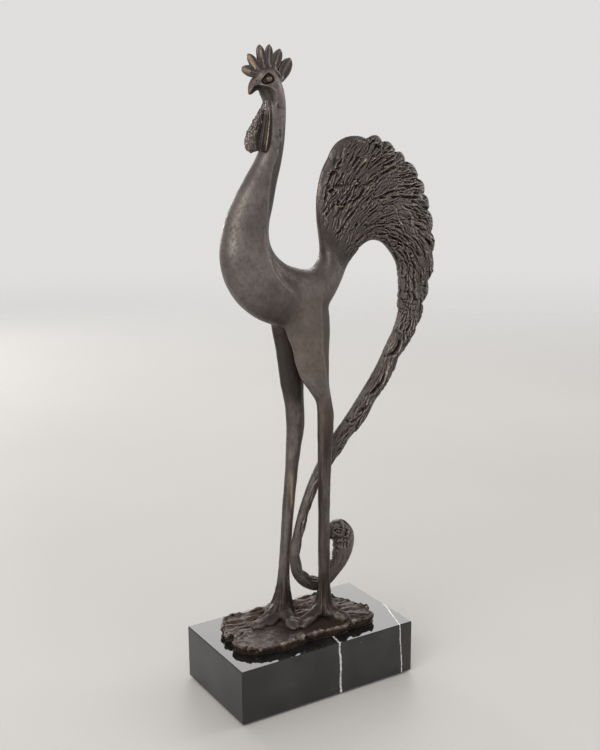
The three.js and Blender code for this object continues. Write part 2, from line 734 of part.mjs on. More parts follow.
place(part, 'marble_plinth', surface(marble()), blackMarble)
place(part, 'felt_pad', slab(
  plinthLength - 2 * feltInset, plinthWidth - 2 * feltInset, feltThickness, feltCornerRadius, 0), greenFelt)
studPlaces.forEach((x, k) => {
  const end = ['front', 'rear'][k]
  const studTop = plinthTop + seatGap + studDepthInPlate
  place(part, `${end}_stud`, upright(x, studAside, nutBottom - studTailLength, studTop, studRadius), steel)
  place(part, `${end}_washer`, surface(pierced(
    x, studAside, washerTop - washerThickness, washerTop, washerRadius, 20, studRadius + seatGap)), steel)
  place(part, `${end}_nut`, surface(pierced(
    x, studAside, nutBottom, nutTop, nutAcrossFlats / Math.sqrt(3), 6, studRadius + seatGap)), steel)
})

export default part
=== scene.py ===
"""The looks of a bronze rooster that stands on a polished black marble plinth.

The bird's own frame is in millimetres: x and y from its middle plane, z above the plinth's top. It faces -x,
and its left side faces -y. Every surface is worked out in that frame and put into its mesh in metres.
"""

import logging
import math
from dataclasses import dataclass, field
from enum import Enum

import bmesh
import bpy
import numpy as np
from mathutils import Matrix, Vector


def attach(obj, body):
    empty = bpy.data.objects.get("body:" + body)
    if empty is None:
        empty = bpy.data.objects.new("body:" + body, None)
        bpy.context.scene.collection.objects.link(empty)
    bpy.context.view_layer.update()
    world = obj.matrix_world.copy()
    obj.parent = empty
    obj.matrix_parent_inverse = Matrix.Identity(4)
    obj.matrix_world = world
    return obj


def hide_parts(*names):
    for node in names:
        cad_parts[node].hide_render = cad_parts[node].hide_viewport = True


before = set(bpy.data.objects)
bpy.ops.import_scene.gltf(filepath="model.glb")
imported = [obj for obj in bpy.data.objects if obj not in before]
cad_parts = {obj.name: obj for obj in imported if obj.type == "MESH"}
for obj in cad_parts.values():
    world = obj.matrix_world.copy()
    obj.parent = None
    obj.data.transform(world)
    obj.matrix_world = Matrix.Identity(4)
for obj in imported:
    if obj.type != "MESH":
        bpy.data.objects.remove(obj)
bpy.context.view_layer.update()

Array = np.ndarray
Rows = list[list[float]]
Colour = tuple[float, float, float]
Place = tuple[float, float, float]

MM = 0.001
BIRD_PLACE = np.array([0.0, 7.0, 60.0])
SIDEWAYS = np.array([0.0, 1.0, 0.0])
UPRIGHT = np.array([0.0, 0.0, 1.0])
FLANK_FULLNESS = 0.78
NOISE_VALUES = 4096
NOISE_PRIMES = np.array([73856093, 19349663, 83492791])
log = logging.getLogger("rooster")


class Side(Enum):
    """The two sides of the bird, by the sign of y."""

    LEFT = -1
    RIGHT = 1


# Curves and noise


def smooth_rows(rows: Rows | Array, places: Array) -> Array:
    """Reads rows of numbers on the smooth curve through them.

    Between two rows the value is the Catmull-Rom cubic
    b + t/2 (c - a + t (2a - 5b + 4c - d + t (3 (b - c) + d - a))) of the rows a, b, c, d around it.

    Args:
        rows: The rows, all of one length.
        places: Places counted in rows, from 0 at the first.

    Returns:
        One row of values for each place.
    """
    table = np.asarray(rows, float)
    last = len(table) - 1
    first = np.clip(np.floor(places).astype(int), 0, last - 1)
    t = (np.asarray(places) - first)[:, None]
    a, b = table[np.maximum(first - 1, 0)], table[first]
    c, d = table[first + 1], table[np.minimum(first + 2, last)]
    return b + 0.5 * t * (c - a + t * (2 * a - 5 * b + 4 * c - d + t * (3 * (b - c) + d - a)))


def smooth_step(low: float, high: float, value: Array) -> Array:
    """A ramp with level ends, 3t^2 - 2t^3, from 0 at low to 1 at high, which may lie below low."""
    t = np.clip((value - low) / (high - low), 0, 1)
    return t * t * (3 - 2 * t)


def bump(distance: Array, width: float) -> Array:
    """A bell, exp(-(distance/width)^2), which is 1 at no distance."""
    return np.exp(-((distance / width) ** 2))


def lattice_noise(coordinates: Array, seed: int) -> Array:
    """Smooth noise from -1 to 1: seeded values at whole coordinates with a level-ended ramp between them.

    Args:
        coordinates: Coordinates as (..., 2) or (..., 3), one unit to a cell.
        seed: Picks the values.

    Returns:
        The noise at each place.
    """
    values = np.random.default_rng(seed).uniform(-1, 1, NOISE_VALUES)
    primes = NOISE_PRIMES[: coordinates.shape[-1]]
    cell = np.floor(coordinates).astype(np.int64)
    t = coordinates - cell
    ramp = t * t * (3 - 2 * t)
    total = np.zeros(coordinates.shape[:-1])
    for corner in np.ndindex(*(2,) * coordinates.shape[-1]):
        weight = np.prod(np.where(corner, ramp, 1 - ramp), axis=-1)
        total += weight * values[((cell + corner) * primes).sum(axis=-1) % NOISE_VALUES]
    return total


def layered_noise(points: Array, size: float, seed: int, layers: int = 3) -> Array:
    """Noise in several layers, the sum of noise(points 2^k / size) / 2^k.

    Args:
        points: Points as (..., 2) or (..., 3).
        size: The largest layer's cell.
        seed: Picks the values.
        layers: How many layers.

    Returns:
        The noise, about -1 to 1.
    """
    return sum(lattice_noise(points * 2**k / size, seed + k) / 2**k for k in range(layers))


def cast_unevenness(points: Array) -> Array:
    """Height in millimetres of the castings' slow unevenness, which runs on from the body to the head."""
    return 0.28 * layered_noise(points * [1, 1, 0.6], 24, 3, 2)


def line_frame(x: Array, z: Array, line: Rows | Array) -> tuple[Array, Array, Array]:
    """Where points lie beside a bent line in the x-z plane.

    Args:
        x: The points' x.
        z: The points' z.
        line: The line's points as (x, z).

    Returns:
        The distance to the nearest piece of the line, the same with a minus sign below the line, and how far
        along the line that place is, from 0 to 1.
    """
    nearest, signed, run = np.full(x.shape, np.inf), np.zeros(x.shape), np.zeros(x.shape)
    for index, ((x0, z0), (x1, z1)) in enumerate(zip(line[:-1], line[1:])):
        ax, az = x1 - x0, z1 - z0
        share = np.clip(((x - x0) * ax + (z - z0) * az) / (ax * ax + az * az + 1e-9), 0, 1)
        dx, dz = x - x0 - share * ax, z - z0 - share * az
        away = np.hypot(dx, dz)
        closer = away < nearest
        signed = np.where(closer, np.where(ax * dz - az * dx < 0, -away, away), signed)
        run = np.where(closer, (index + share) / (len(line) - 1), run)
        nearest = np.where(closer, away, nearest)
    return nearest, signed, run


def distance_to_line(x: Array, z: Array, line: Rows) -> tuple[Array, Array]:
    """The distance from points to a bent line in the x-z plane, and the same with a minus sign below it."""
    return line_frame(x, z, line)[:2]


@dataclass
class ReliefMap:
    """Heights over the x-z plane on a square grid, for carving that covers both faces of a flat form.

    Attributes:
        low: x and z where the grid begins.
        cell: The cell's size in millimetres.
        size: Cells along x and along z.
        heights: The heights in millimetres.
    """

    low: tuple[float, float] = (-20.0, 20.0)
    cell: float = 0.45
    size: tuple[int, int] = (480, 1120)
    heights: Array = field(init=False)

    def __post_init__(self) -> None:
        """Starts flat."""
        self.heights = np.zeros(self.size)

    def window(self, line: Array, margin: float) -> tuple[tuple[slice, slice], Array, Array]:
        """The part of the grid round a line.

        Args:
            line: The line's points, (points, 2).
            margin: How far the part reaches past them.

        Returns:
            The part's slices, and the x and z of its cells.
        """
        spans, middles = [], []
        for axis in range(2):
            first = int((line[:, axis].min() - margin - self.low[axis]) / self.cell)
            last = int((line[:, axis].max() + margin - self.low[axis]) / self.cell) + 2
            span = slice(max(first, 0), min(max(last, 1), self.size[axis]))
            spans.append(span)
            middles.append(self.low[axis] + self.cell * (np.arange(span.start, span.stop) + 0.5))
        return tuple(spans), *np.meshgrid(*middles, indexing="ij")

    def tongue(self, line: Array, half: float, height: float) -> None:
        """Lays a tongue over what is there: narrow at its start, rising to a round raised end.

        At e from its middle line, in shares of its half width there, and s along it, it is
        height ((0.25 + 0.75 s) sqrt(1 - e^2) - 0.45) high, with a groove of height / 3 round it.

        Args:
            line: The tongue's middle line, (points, 2).
            half: Its half width at its end.
            height: Its height.
        """
        part, x, z = self.window(line, 1.6 * half)
        away, _, s = line_frame(x, z, line)
        e = away / (half * (0.4 + 0.6 * np.sqrt(s)))
        dome = height * ((0.25 + 0.75 * s) * np.sqrt(np.clip(1 - e * e, 0, 1)) - 0.45)
        inside = smooth_step(1.08, 0.92, e)
        here = self.heights[part] * (1 - inside) + dome * inside
        self.heights[part] = here - height / 3 * bump(e - 1.1, 0.13) * smooth_step(0.1, 0.5, s)

    def stroke(self, line: Array, half: float, depth: float) -> None:
        """Cuts a stroke that tapers at both ends, with a raised burr along one side.

        At the signed distance d it cuts depth (exp(-(d/half)^2) - 0.65 exp(-((d - 2 half)/half)^2)) deep.

        Args:
            line: The stroke's middle line, (points, 2).
            half: Its half width.
            depth: Its depth.
        """
        part, x, z = self.window(line, 5 * half)
        _, signed, s = line_frame(x, z, line)
        taper = np.sqrt(np.clip(4 * s * (1 - s), 0, 1))
        self.heights[part] -= depth * taper * (bump(signed, half) - 0.65 * bump(signed - 2 * half, half))

    def blurred(self, heights: Array, reach: int) -> Array:
        """The mean over a square of 2 reach + 1 cells, by running sums along both axes.

        Args:
            heights: Values on the grid.
            reach: How many cells the square goes past its middle.

        Returns:
            The means on the grid.
        """
        for axis in range(2):
            wide = [(reach + 1, reach) if axis == k else (0, 0) for k in range(2)]
            total = np.cumsum(np.pad(heights, wide, mode="edge"), axis=axis)
            span = 2 * reach + 1
            heights = (np.take(total, np.arange(span, total.shape[axis]), axis)
                       - np.take(total, np.arange(total.shape[axis] - span), axis)) / span
        return heights

    def scattered(self, flat: Array, values: Array) -> Array:
        """A grid of values that are known at scattered points: the mean in each cell, with gaps filled.

        Args:
            flat: The points' x and z, (..., 2).
            values: Their values.

        Returns:
            The values on the grid.
        """
        places = ((flat.reshape(-1, 2) - self.low) / self.cell).astype(int)
        places = places.clip(0, np.array(self.size) - 1)
        index = places[:, 0] * self.size[1] + places[:, 1]
        count = self.size[0] * self.size[1]
        total = np.bincount(index, weights=values.ravel(), minlength=count).reshape(self.size)
        number = np.bincount(index, minlength=count).reshape(self.size).astype(float)
        return self.blurred(total, 2) / np.maximum(self.blurred(number, 2), 1e-6)

    def sample(self, heights: Array, x: Array, z: Array) -> Array:
        """Values of a grid at points, drawn evenly between the middles of the four cells round each.

        Args:
            heights: Values on the grid.
            x: The points' x.
            z: The points' z.

        Returns:
            The values at the points.
        """
        u = np.clip((x - self.low[0]) / self.cell - 0.5, 0, self.size[0] - 1.001)
        v = np.clip((z - self.low[1]) / self.cell - 0.5, 0, self.size[1] - 1.001)
        i, j = u.astype(int), v.astype(int)
        f, g = u - i, v - j
        return ((heights[i, j] * (1 - f) + heights[i + 1, j] * f) * (1 - g)
                + (heights[i, j + 1] * (1 - f) + heights[i + 1, j + 1] * f) * g)


# Surfaces as arrays


@dataclass
class Surface:
    """A closed surface as arrays, in millimetres in the bird's own frame.

    Attributes:
        points: The corners, (n, 3).
        quads: Faces of four corners, (m, 4).
        fans: Faces of three corners, (k, 3), which close the ends.
        marks: Values at the corners by name, for the materials.
    """

    points: Array
    quads: Array
    fans: Array = field(default_factory=lambda: np.zeros((0, 3), int))
    marks: dict[str, Array] = field(default_factory=dict)

    @classmethod
    def from_rings(cls, rings: Array, marks: dict[str, Array] | None = None) -> "Surface":
        """Joins rings of points, (rings, around, 3), with quads, and closes both ends with a fan.

        Args:
            rings: The points. Ring i and ring i + 1 are joined corner by corner.
            marks: Values of the shape (rings, around) by name.

        Returns:
            The surface, turned so that its faces point out.
        """
        count, around = rings.shape[:2]
        first = np.arange(count * around).reshape(count, around)
        beside = np.roll(first, -1, axis=1)
        quads = np.stack([first[:-1], beside[:-1], beside[1:], first[1:]], axis=-1).reshape(-1, 4)
        total = count * around
        start = np.stack([np.full(around, total), beside[0], first[0]], axis=-1)
        end = np.stack([np.full(around, total + 1), first[-1], beside[-1]], axis=-1)
        points = np.concatenate([rings.reshape(-1, 3), rings[[0, -1]].mean(axis=1)])
        values = {name: np.concatenate([value.ravel(), value[[0, -1]].mean(axis=1)])
                  for name, value in (marks or {}).items()}
        made = cls(points, quads, np.concatenate([start, end]), values)
        if made.volume() < 0:
            made.quads, made.fans = made.quads[:, ::-1], made.fans[:, ::-1]
        return made

    def volume(self) -> float:
        """The enclosed volume, a sixth of the sum of a . (b x c) over the triangles of every face."""
        corners = self.points[np.concatenate([self.quads[:, :3], self.quads[:, [0, 2, 3]], self.fans])]
        return float(np.einsum("ij,ij->", corners[:, 0], np.cross(corners[:, 1], corners[:, 2])) / 6)

    def normals(self) -> Array:
        """Unit vectors that point out at the corners.

        Returns:
            For each corner the crossed diagonals of its faces, added up and made one long, (n, 3).
        """
        p, q = self.points, self.quads
        facing = np.cross(p[q[:, 2]] - p[q[:, 0]], p[q[:, 3]] - p[q[:, 1]])
        total = np.stack([
            np.bincount(q.ravel(), np.repeat(facing[:, k], 4), len(p)) for k in range(3)], axis=1)
        return total / np.maximum(np.linalg.norm(total, axis=1, keepdims=True), 1e-12)

    def relaxed(self, strength: float | Array, rounds: int) -> Array:
        """The corners after each has moved, in every round, towards the mean of its neighbours.

        Args:
            strength: How much of the way they go, from 0 to 1, for all corners or each.
            rounds: How often.

        Returns:
            The new corners. Those of the fans alone stay.
        """
        start, end = self.quads.ravel(), np.roll(self.quads, -1, axis=1).ravel()
        here, there = np.concatenate([start, end]), np.concatenate([end, start])
        count = np.bincount(here, minlength=len(self.points))
        share = (np.where(count > 0, strength, 0) / np.maximum(count, 1))[:, None]
        points = self.points.copy()
        for _ in range(rounds):
            total = np.stack([np.bincount(here, points[there, k], len(points)) for k in range(3)], axis=1)
            points += share * (total - count[:, None] * points)
        return points

    def mark_proud(self, scale: float, rounds: int = 8) -> None:
        """Marks how far each corner stands proud of its surroundings: its height over the relaxed surface.

        Args:
            scale: The height in millimetres that counts as 1.
            rounds: How wide the surroundings are, in rounds of relaxing.
        """
        height = np.einsum("ij,ij->i", self.points - self.relaxed(0.6, rounds), self.normals())
        self.marks["proud"] = np.clip(height / scale, -1, 1)

    def move_out(self, height: Array) -> None:
        """Moves each corner along its normal by its height in millimetres."""
        self.points = self.points + height[:, None] * self.normals()

    def to_mesh(self, name: str) -> bpy.types.Mesh:
        """Writes the surface into a new mesh, in metres and in its place in the scene.

        Args:
            name: The mesh's name.

        Returns:
            The mesh, smooth shaded, with the marks at its corners.
        """
        mesh = bpy.data.meshes.new(name)
        sides = np.concatenate([np.full(len(self.quads), 4), np.full(len(self.fans), 3)])
        corners = np.concatenate([self.quads.ravel(), self.fans.ravel()]).astype(np.int32)
        mesh.vertices.add(len(self.points))
        mesh.vertices.foreach_set("co", ((self.points + BIRD_PLACE) * MM).astype(np.float32).ravel())
        mesh.loops.add(len(corners))
        mesh.loops.foreach_set("vertex_index", corners)
        mesh.polygons.add(len(sides))
        mesh.polygons.foreach_set("loop_start", (np.cumsum(sides) - sides).astype(np.int32))
        mesh.update(calc_edges=True)
        mesh.shade_smooth()
        for label, values in self.marks.items():
            mark = mesh.attributes.new(label, "FLOAT", "POINT")
            mark.data.foreach_set("value", values.astype(np.float32))
        mesh.validate()
        return mesh


def mesh_points(mesh: bpy.types.Mesh) -> Array:
    """A mesh's corners in millimetres, in the bird's own frame."""
    points = np.empty(len(mesh.vertices) * 3, np.float32)
    mesh.vertices.foreach_get("co", points)
    return points.reshape(-1, 3) / MM - BIRD_PLACE


def fused(surfaces: list[Surface], voxel: float) -> Surface:
    """One skin round several surfaces that pass into each other, made of square cells.

    Args:
        surfaces: The closed surfaces.
        voxel: The cells' size in millimetres.

    Returns:
        The skin, without marks.
    """
    bm = bmesh.new()
    for surface in surfaces:
        bm.from_mesh(surface.to_mesh("blank"))
    mesh = bpy.data.meshes.new("blank")
    bm.to_mesh(mesh)
    bm.free()
    blank = bpy.data.objects.new("blank", mesh)
    bpy.context.scene.collection.objects.link(blank)
    remesh = blank.modifiers.new("skin", "REMESH")
    remesh.mode = "VOXEL"
    remesh.voxel_size = voxel * MM
    skin = blank.evaluated_get(bpy.context.evaluated_depsgraph_get()).to_mesh()
    corners = np.empty(len(skin.loops), np.int32)
    skin.loops.foreach_get("vertex_index", corners)
    made = Surface(mesh_points(skin), corners.reshape(-1, 4).astype(int))
    bpy.data.objects.remove(blank)
    return made


def round_ring(around: int) -> tuple[Array, Array]:
    """The cosine and the sine at even steps round a ring."""
    angle = 2 * np.pi * np.arange(around) / around
    return np.cos(angle), np.sin(angle)


def egg_rings(rows: Rows, steps: int, around: int, aside: float = 0.0, fullness: float = 1.0) -> Array:
    """Rings of egg sections between a front and a back point.

    With c and s the cosine and sine round the ring, a point lies at ridge - ridge |c| of the way back on its
    front half, at ridge + (1 - ridge) |c|^crease on its back half, and at half s to the side, in front
    half |s|^fullness.

    Args:
        rows: Front x, front z, back x, back z, half width, the ridge's share of the way back, and the crease:
            1 for a round back half, more for a sharper ridge.
        steps: Rings along the rows.
        around: Points in a ring.
        aside: How far to the side the sections' middle lies.
        fullness: 1 for a plain oval front half, less for flatter flanks and a blunter front.

    Returns:
        The points, (steps + 1, around, 3).
    """
    table = smooth_rows(rows, np.linspace(0, len(rows) - 1, steps + 1))
    front_x, front_z, back_x, back_z, half, ridge, crease = (table[:, k, None] for k in range(7))
    c, s = round_ring(around)
    reach = ridge + np.where(c > 0, (1 - ridge) * np.abs(c) ** crease, -ridge * np.abs(c))
    wide = half * np.where(c > 0, s, np.sign(np.round(s, 9)) * np.abs(s) ** fullness)
    return np.stack([
        front_x + (back_x - front_x) * reach, aside + wide, front_z + (back_z - front_z) * reach], axis=-1)


def limb_rings(rows: Rows | Array, steps: int, around: int, lead: Array) -> Array:
    """Rings of ovals square to a smooth path.

    With a the path's direction, u the lead made square to a, and v = a x u, a point is
    path + lead half size * sin * u + across half size * cos * v.

    Args:
        rows: x, y, z, the half size along the lead, and the half size across it.
        steps: Rings along the path.
        around: Points in a ring.
        lead: The direction that the first half size follows.

    Returns:
        The points, (steps + 1, around, 3).
    """
    places = np.linspace(0, len(rows) - 1, steps + 1)
    table = smooth_rows(rows, places)
    along = np.gradient(table[:, :3], axis=0)
    along /= np.linalg.norm(along, axis=1, keepdims=True)
    up = lead - along * (along @ lead)[:, None]
    up /= np.linalg.norm(up, axis=1, keepdims=True)
    across = np.cross(along, up)
    c, s = (values[None, :, None] for values in round_ring(around))
    middle, lead_half, across_half = table[:, None, :3], table[:, None, 3:4], table[:, None, 4:5]
    return middle + lead_half * s * up[:, None] + across_half * c * across[:, None]


# Cuts and pieces


def in_metres(point: Place) -> Vector:
    """A point of the bird's own frame as a place in the scene."""
    return Vector((np.array(point) + BIRD_PLACE) * MM)


@dataclass(frozen=True)
class Cut:
    """A flat cut through a casting: what lies past it, within a box, is taken off and the cut is closed.

    Attributes:
        at: A point of the cut, in the bird's own frame.
        faces: The direction of what is taken off.
        low: The box's lowest corner.
        high: The box's highest corner.
    """

    at: Place
    faces: Place
    low: Place = (-500, -500, -500)
    high: Place = (900, 900, 900)

    def turned(self) -> "Cut":
        """The same cut, with the other side taken off."""
        return Cut(self.at, tuple(-value for value in self.faces), self.low, self.high)

    def apply(self, bm: bmesh.types.BMesh) -> None:
        """Cuts a mesh, closes the cut and keeps its rim a sharp edge.

        Args:
            bm: The mesh, which is changed.
        """
        low, high = in_metres(self.low), in_metres(self.high)
        inside = [face for face in bm.faces
                  if all(low[k] < face.verts[0].co[k] < high[k] for k in range(3))]
        shape = list({part for face in inside for part in (*face.verts, *face.edges)}) + inside
        bmesh.ops.bisect_plane(
            bm, geom=shape, dist=1e-7, plane_co=in_metres(self.at), plane_no=Vector(self.faces),
            clear_outer=True)
        rims = [edge for edge in bm.edges if edge.is_boundary]
        bmesh.ops.holes_fill(bm, edges=rims, sides=0)
        for edge in rims:
            edge.smooth = False


NECK_CUT = Cut(at=(-20, 0, 541), faces=(0.1, 0, 1))
TAIL_CUT = Cut(at=(43, 0, 391), faces=(33, 0, 27), low=(8, -60, 300), high=(250, 60, 480))
HIP_CUT = Cut(at=(0, 0, 312), faces=(0, 0, -1))
MIDDLE_CUT = Cut(at=(0, 0, 0), faces=(0, 1, 0))


def cut_mesh(mesh: bpy.types.Mesh, name: str, cuts: list[Cut]) -> bpy.types.Mesh:
    """A copy of a mesh with cuts through it, which keeps the mesh's marks.

    Args:
        mesh: The mesh, which stays whole.
        name: The copy's name.
        cuts: The cuts, in order.

    Returns:
        The copy.
    """
    bm = bmesh.new()
    bm.from_mesh(mesh)
    for cut in cuts:
        cut.apply(bm)
    made = bpy.data.meshes.new(name)
    bm.to_mesh(made)
    bm.free()
    return made


def show_piece(
    shape: Surface | bpy.types.Mesh, name: str, nodes: list[str], material: bpy.types.Material
) -> None:
    """Puts a finished shape into the scene as a piece that stands for CAD nodes and rides on the body root.

    Args:
        shape: The surface or mesh, already in its place.
        name: The piece's name.
        nodes: The CAD nodes that it stands for.
        material: Its finish.
    """
    mesh = shape.to_mesh(name) if isinstance(shape, Surface) else shape
    piece = bpy.data.objects.new(name, mesh)
    bpy.context.scene.collection.objects.link(piece)
    mesh.materials.clear()
    mesh.materials.append(material)
    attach(piece, "root")
    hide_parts(*nodes)
    log.info("%s: %d faces", name, len(mesh.polygons))


# Finishes


class Shader:
    """The nodes of one material or world: each method adds a node and gives its result.

    Attributes:
        owner: The material or world.
        nodes: Its nodes.
        links: The links between them.
        surface: The node that its colour is fed to.
        coordinates: The outputs of its Texture Coordinate node.
        place: The place on the object in metres, which every pattern follows.
    """

    def __init__(self, owner: bpy.types.Material | bpy.types.World) -> None:
        """Starts with the nodes that a new material or world has.

        Args:
            owner: The material or world.
        """
        owner.use_nodes = True
        self.owner = owner
        self.nodes, self.links = owner.node_tree.nodes, owner.node_tree.links
        self.surface = self.nodes.get("Principled BSDF") or self.nodes["Background"]
        self.coordinates = self.node("ShaderNodeTexCoord").outputs
        self.place = self.coordinates["Object"]

    def node(self, kind: str, **settings: object) -> bpy.types.Node:
        """Adds a node.

        Args:
            kind: The node's type.
            settings: Its settings by name.

        Returns:
            The node.
        """
        made = self.nodes.new(kind)
        for name, value in settings.items():
            setattr(made, name, value)
        return made

    def feed(self, node: bpy.types.Node, inputs: dict[str | int, object]) -> None:
        """Sets a node's inputs.

        Args:
            node: The node.
            inputs: For each input, by name or number, a value or another node's output.
        """
        for key, value in inputs.items():
            if isinstance(value, bpy.types.NodeSocket):
                self.links.new(value, node.inputs[key])
            else:
                node.inputs[key].default_value = value

    def stretched(self, x: float, y: float, z: float) -> bpy.types.NodeSocket:
        """The place with each axis multiplied, so that a pattern gets longer along the small ones."""
        mapping = self.node("ShaderNodeMapping")
        self.feed(mapping, {"Vector": self.place, "Scale": (x, y, z)})
        return mapping.outputs["Vector"]

    def noise(
        self, size: float, detail: float = 3.0, rough: float = 0.55,
        vector: bpy.types.NodeSocket | None = None
    ) -> bpy.types.NodeSocket:
        """Noise from 0 to 1.

        Args:
            size: About how wide its features are, in millimetres.
            detail: How many finer layers it has.
            rough: How strong the finer layers are.
            vector: The place, where it isn't the plain one.

        Returns:
            The noise.
        """
        made = self.node("ShaderNodeTexNoise")
        self.feed(made, {
            "Vector": vector or self.place, "Scale": 1 / (size * MM), "Detail": detail, "Roughness": rough})
        return made.outputs["Fac"]

    def cells(self, size: float) -> bpy.types.NodeSocket:
        """The distance to the nearest of scattered points about size millimetres apart."""
        made = self.node("ShaderNodeTexVoronoi")
        self.feed(made, {"Vector": self.place, "Scale": 1 / (size * MM)})
        return made.outputs["Distance"]

    def mark(self, name: str) -> bpy.types.NodeSocket:
        """A value that the mesh carries at its corners."""
        return self.node("ShaderNodeAttribute", attribute_name=name).outputs["Fac"]

    def math(self, operation: str, *values: object) -> bpy.types.NodeSocket:
        """One step of arithmetic."""
        made = self.node("ShaderNodeMath", operation=operation)
        self.feed(made, dict(enumerate(values)))
        return made.outputs[0]

    def ramp(
        self, value: object, low: float, high: float, out_low: float = 0.0, out_high: float = 1.0
    ) -> bpy.types.NodeSocket:
        """A ramp with level ends.

        Args:
            value: What it follows.
            low: The value at its start.
            high: The value at its end, which may lie below low.
            out_low: What it gives up to its start.
            out_high: What it gives from its end on.

        Returns:
            The ramp's height.
        """
        made = self.node("ShaderNodeMapRange", interpolation_type="SMOOTHSTEP")
        self.feed(made, {
            "Value": value, "From Min": low, "From Max": high, "To Min": out_low, "To Max": out_high})
        return made.outputs["Result"]

    def mix(self, share: object, first: object, second: object) -> bpy.types.NodeSocket:
        """A colour between two colours.

        Args:
            share: How much of the second there is, from 0 to 1.
            first: The first colour, three numbers or another node's output.
            second: The second colour.

        Returns:
            The colour.
        """
        made = self.node("ShaderNodeMix", data_type="RGBA")
        first, second = ((*one, 1.0) if isinstance(one, tuple) else one for one in (first, second))
        self.feed(made, {0: share, 6: first, 7: second})
        return made.outputs[2]

    def raise_by(
        self, height: object, depth: float, under: bpy.types.NodeSocket | None = None
    ) -> bpy.types.NodeSocket:
        """A bumped normal.

        Args:
            height: The height, from 0 to 1.
            depth: What a height of 1 stands for, in millimetres.
            under: The normal that it is laid over.

        Returns:
            The normal.
        """
        made = self.node("ShaderNodeBump")
        self.feed(made, {"Height": height, "Distance": depth * MM, "Strength": 1.0})
        if under is not None:
            self.feed(made, {"Normal": under})
        return made.outputs["Normal"]


@dataclass(frozen=True)
class BronzeFinish:
    """Chemically browned bronze: a dark skin, worn to gold on proud edges, with painted shade in its hollows
    and a painted highlight on its crests.

    Attributes:
        name: The material's name.
        deep: The dark colour of the painted shade in hollows and under the shade mark, and of the dark
            mottle, specks and strands.
        skin: The skin's colour.
        pale: The skin's colour in its pale clouds; 1.6 times it is the painted highlight on proud crests.
        gold: The bare metal's colour.
        wear: How easily proud edges show gold, from 0 to 1.
        roughness: The skin's roughness.
        grain: The depth of the fine grain in millimetres.
        pits: The depth of the casting pits in millimetres.
        streaks: How much the clouds are drawn out upright, 1 for not at all.
        mottle: How strongly small dark clouds show, from 0 to 1.
        specks: How strongly the casting pits are dark, from 0 to 1.
        hatch: The depth in millimetres of the fine strands that follow a piece's marks across and along.
        metal: How metallic the skin is, from 0 to 1.
        gloss: The strength of the skin's plain reflection, 0.5 for the usual.
    """

    name: str
    deep: Colour
    skin: Colour
    pale: Colour
    gold: Colour
    wear: float
    roughness: float
    grain: float
    pits: float
    streaks: float = 1.0
    mottle: float = 0.4
    specks: float = 0.5
    hatch: float = 0.0
    metal: float = 0.55
    gloss: float = 0.5

    def material(self) -> bpy.types.Material:
        """Builds the material.

        Returns:
            The material. It reads the marks proud, shade (painted shade) and the mark of worn gold and
            painted highlights, and with hatch also across and along.
        """
        s = Shader(bpy.data.materials.new(self.name))
        drawn = s.stretched(1, 1, 1 / self.streaks)
        clouds = s.noise(26, 4, 0.6, drawn)
        mottle = s.noise(3.2, 4, 0.65, drawn)
        speck = s.ramp(s.cells(3.8), 0.07, 0.17, 1, 0)
        proud, wear_and_highlight, shade = s.mark("proud"), s.mark("wear_and_highlight"), s.mark("shade")
        skin = s.mix(s.ramp(clouds, 0.35, 0.66), self.skin, self.pale)
        # Painted highlight: crests that stand proud are made paler, in place of the glints that light gives
        # them.
        skin = s.mix(s.ramp(proud, 0.05, 0.9, 0, 0.6), skin, tuple(1.6 * value for value in self.pale))
        skin = s.mix(s.ramp(mottle, 0.42, 0.7, 0, self.mottle), skin, self.deep)
        # Painted shade: hollows, where proud is below 0, and the shade mark darken the skin towards deep.
        skin = s.mix(s.math("MAXIMUM", s.ramp(proud, -0.06, -0.65), shade), skin, self.deep)
        skin = s.mix(s.math("MULTIPLY", speck, s.ramp(clouds, 0.42, 0.6, 0, self.specks)), skin, self.deep)
        strand_place = s.node("ShaderNodeCombineXYZ")
        s.feed(strand_place, {0: s.mark("across"), 1: s.mark("along")})
        strands = s.noise(1 / MM, 3, 0.6, strand_place.outputs["Vector"])
        skin = s.mix(s.ramp(strands, 0.5, 0.3, 0, self.hatch), skin, self.deep)
        edge = s.math("MULTIPLY", s.ramp(proud, 0.35, 1.0), s.ramp(mottle, 0.3, 0.62))
        edge = s.math("MULTIPLY", edge, self.wear)
        # Gold from the mark of worn metal and painted highlights, broken up by the mottle.
        patchy = s.math("MULTIPLY", wear_and_highlight, s.ramp(mottle, 0.25, 0.6, 0.25, 1))
        bare = s.math("MAXIMUM", edge, patchy)
        colour = s.mix(bare, skin, self.gold)
        rough = s.math("ADD", s.ramp(mottle, 0.3, 0.75, -0.07, 0.09), self.roughness)
        rough = s.math("SUBTRACT", rough, s.math("MULTIPLY", bare, 0.1))
        grain = s.raise_by(s.noise(0.9, 3, 0.6), self.grain)
        pitted = s.raise_by(s.math("SUBTRACT", 1.0, speck), self.pits, grain)
        waves = s.raise_by(s.noise(7, 2, 0.5, drawn), self.grain * 3, pitted)
        hatched = s.raise_by(strands, self.hatch, waves)
        s.feed(s.surface, {
            "Base Color": colour, "Roughness": rough, "Normal": hatched, "Specular IOR Level": self.gloss,
            "Metallic": s.math("ADD", s.math("MULTIPLY", bare, 0.35), self.metal)})
        return s.owner


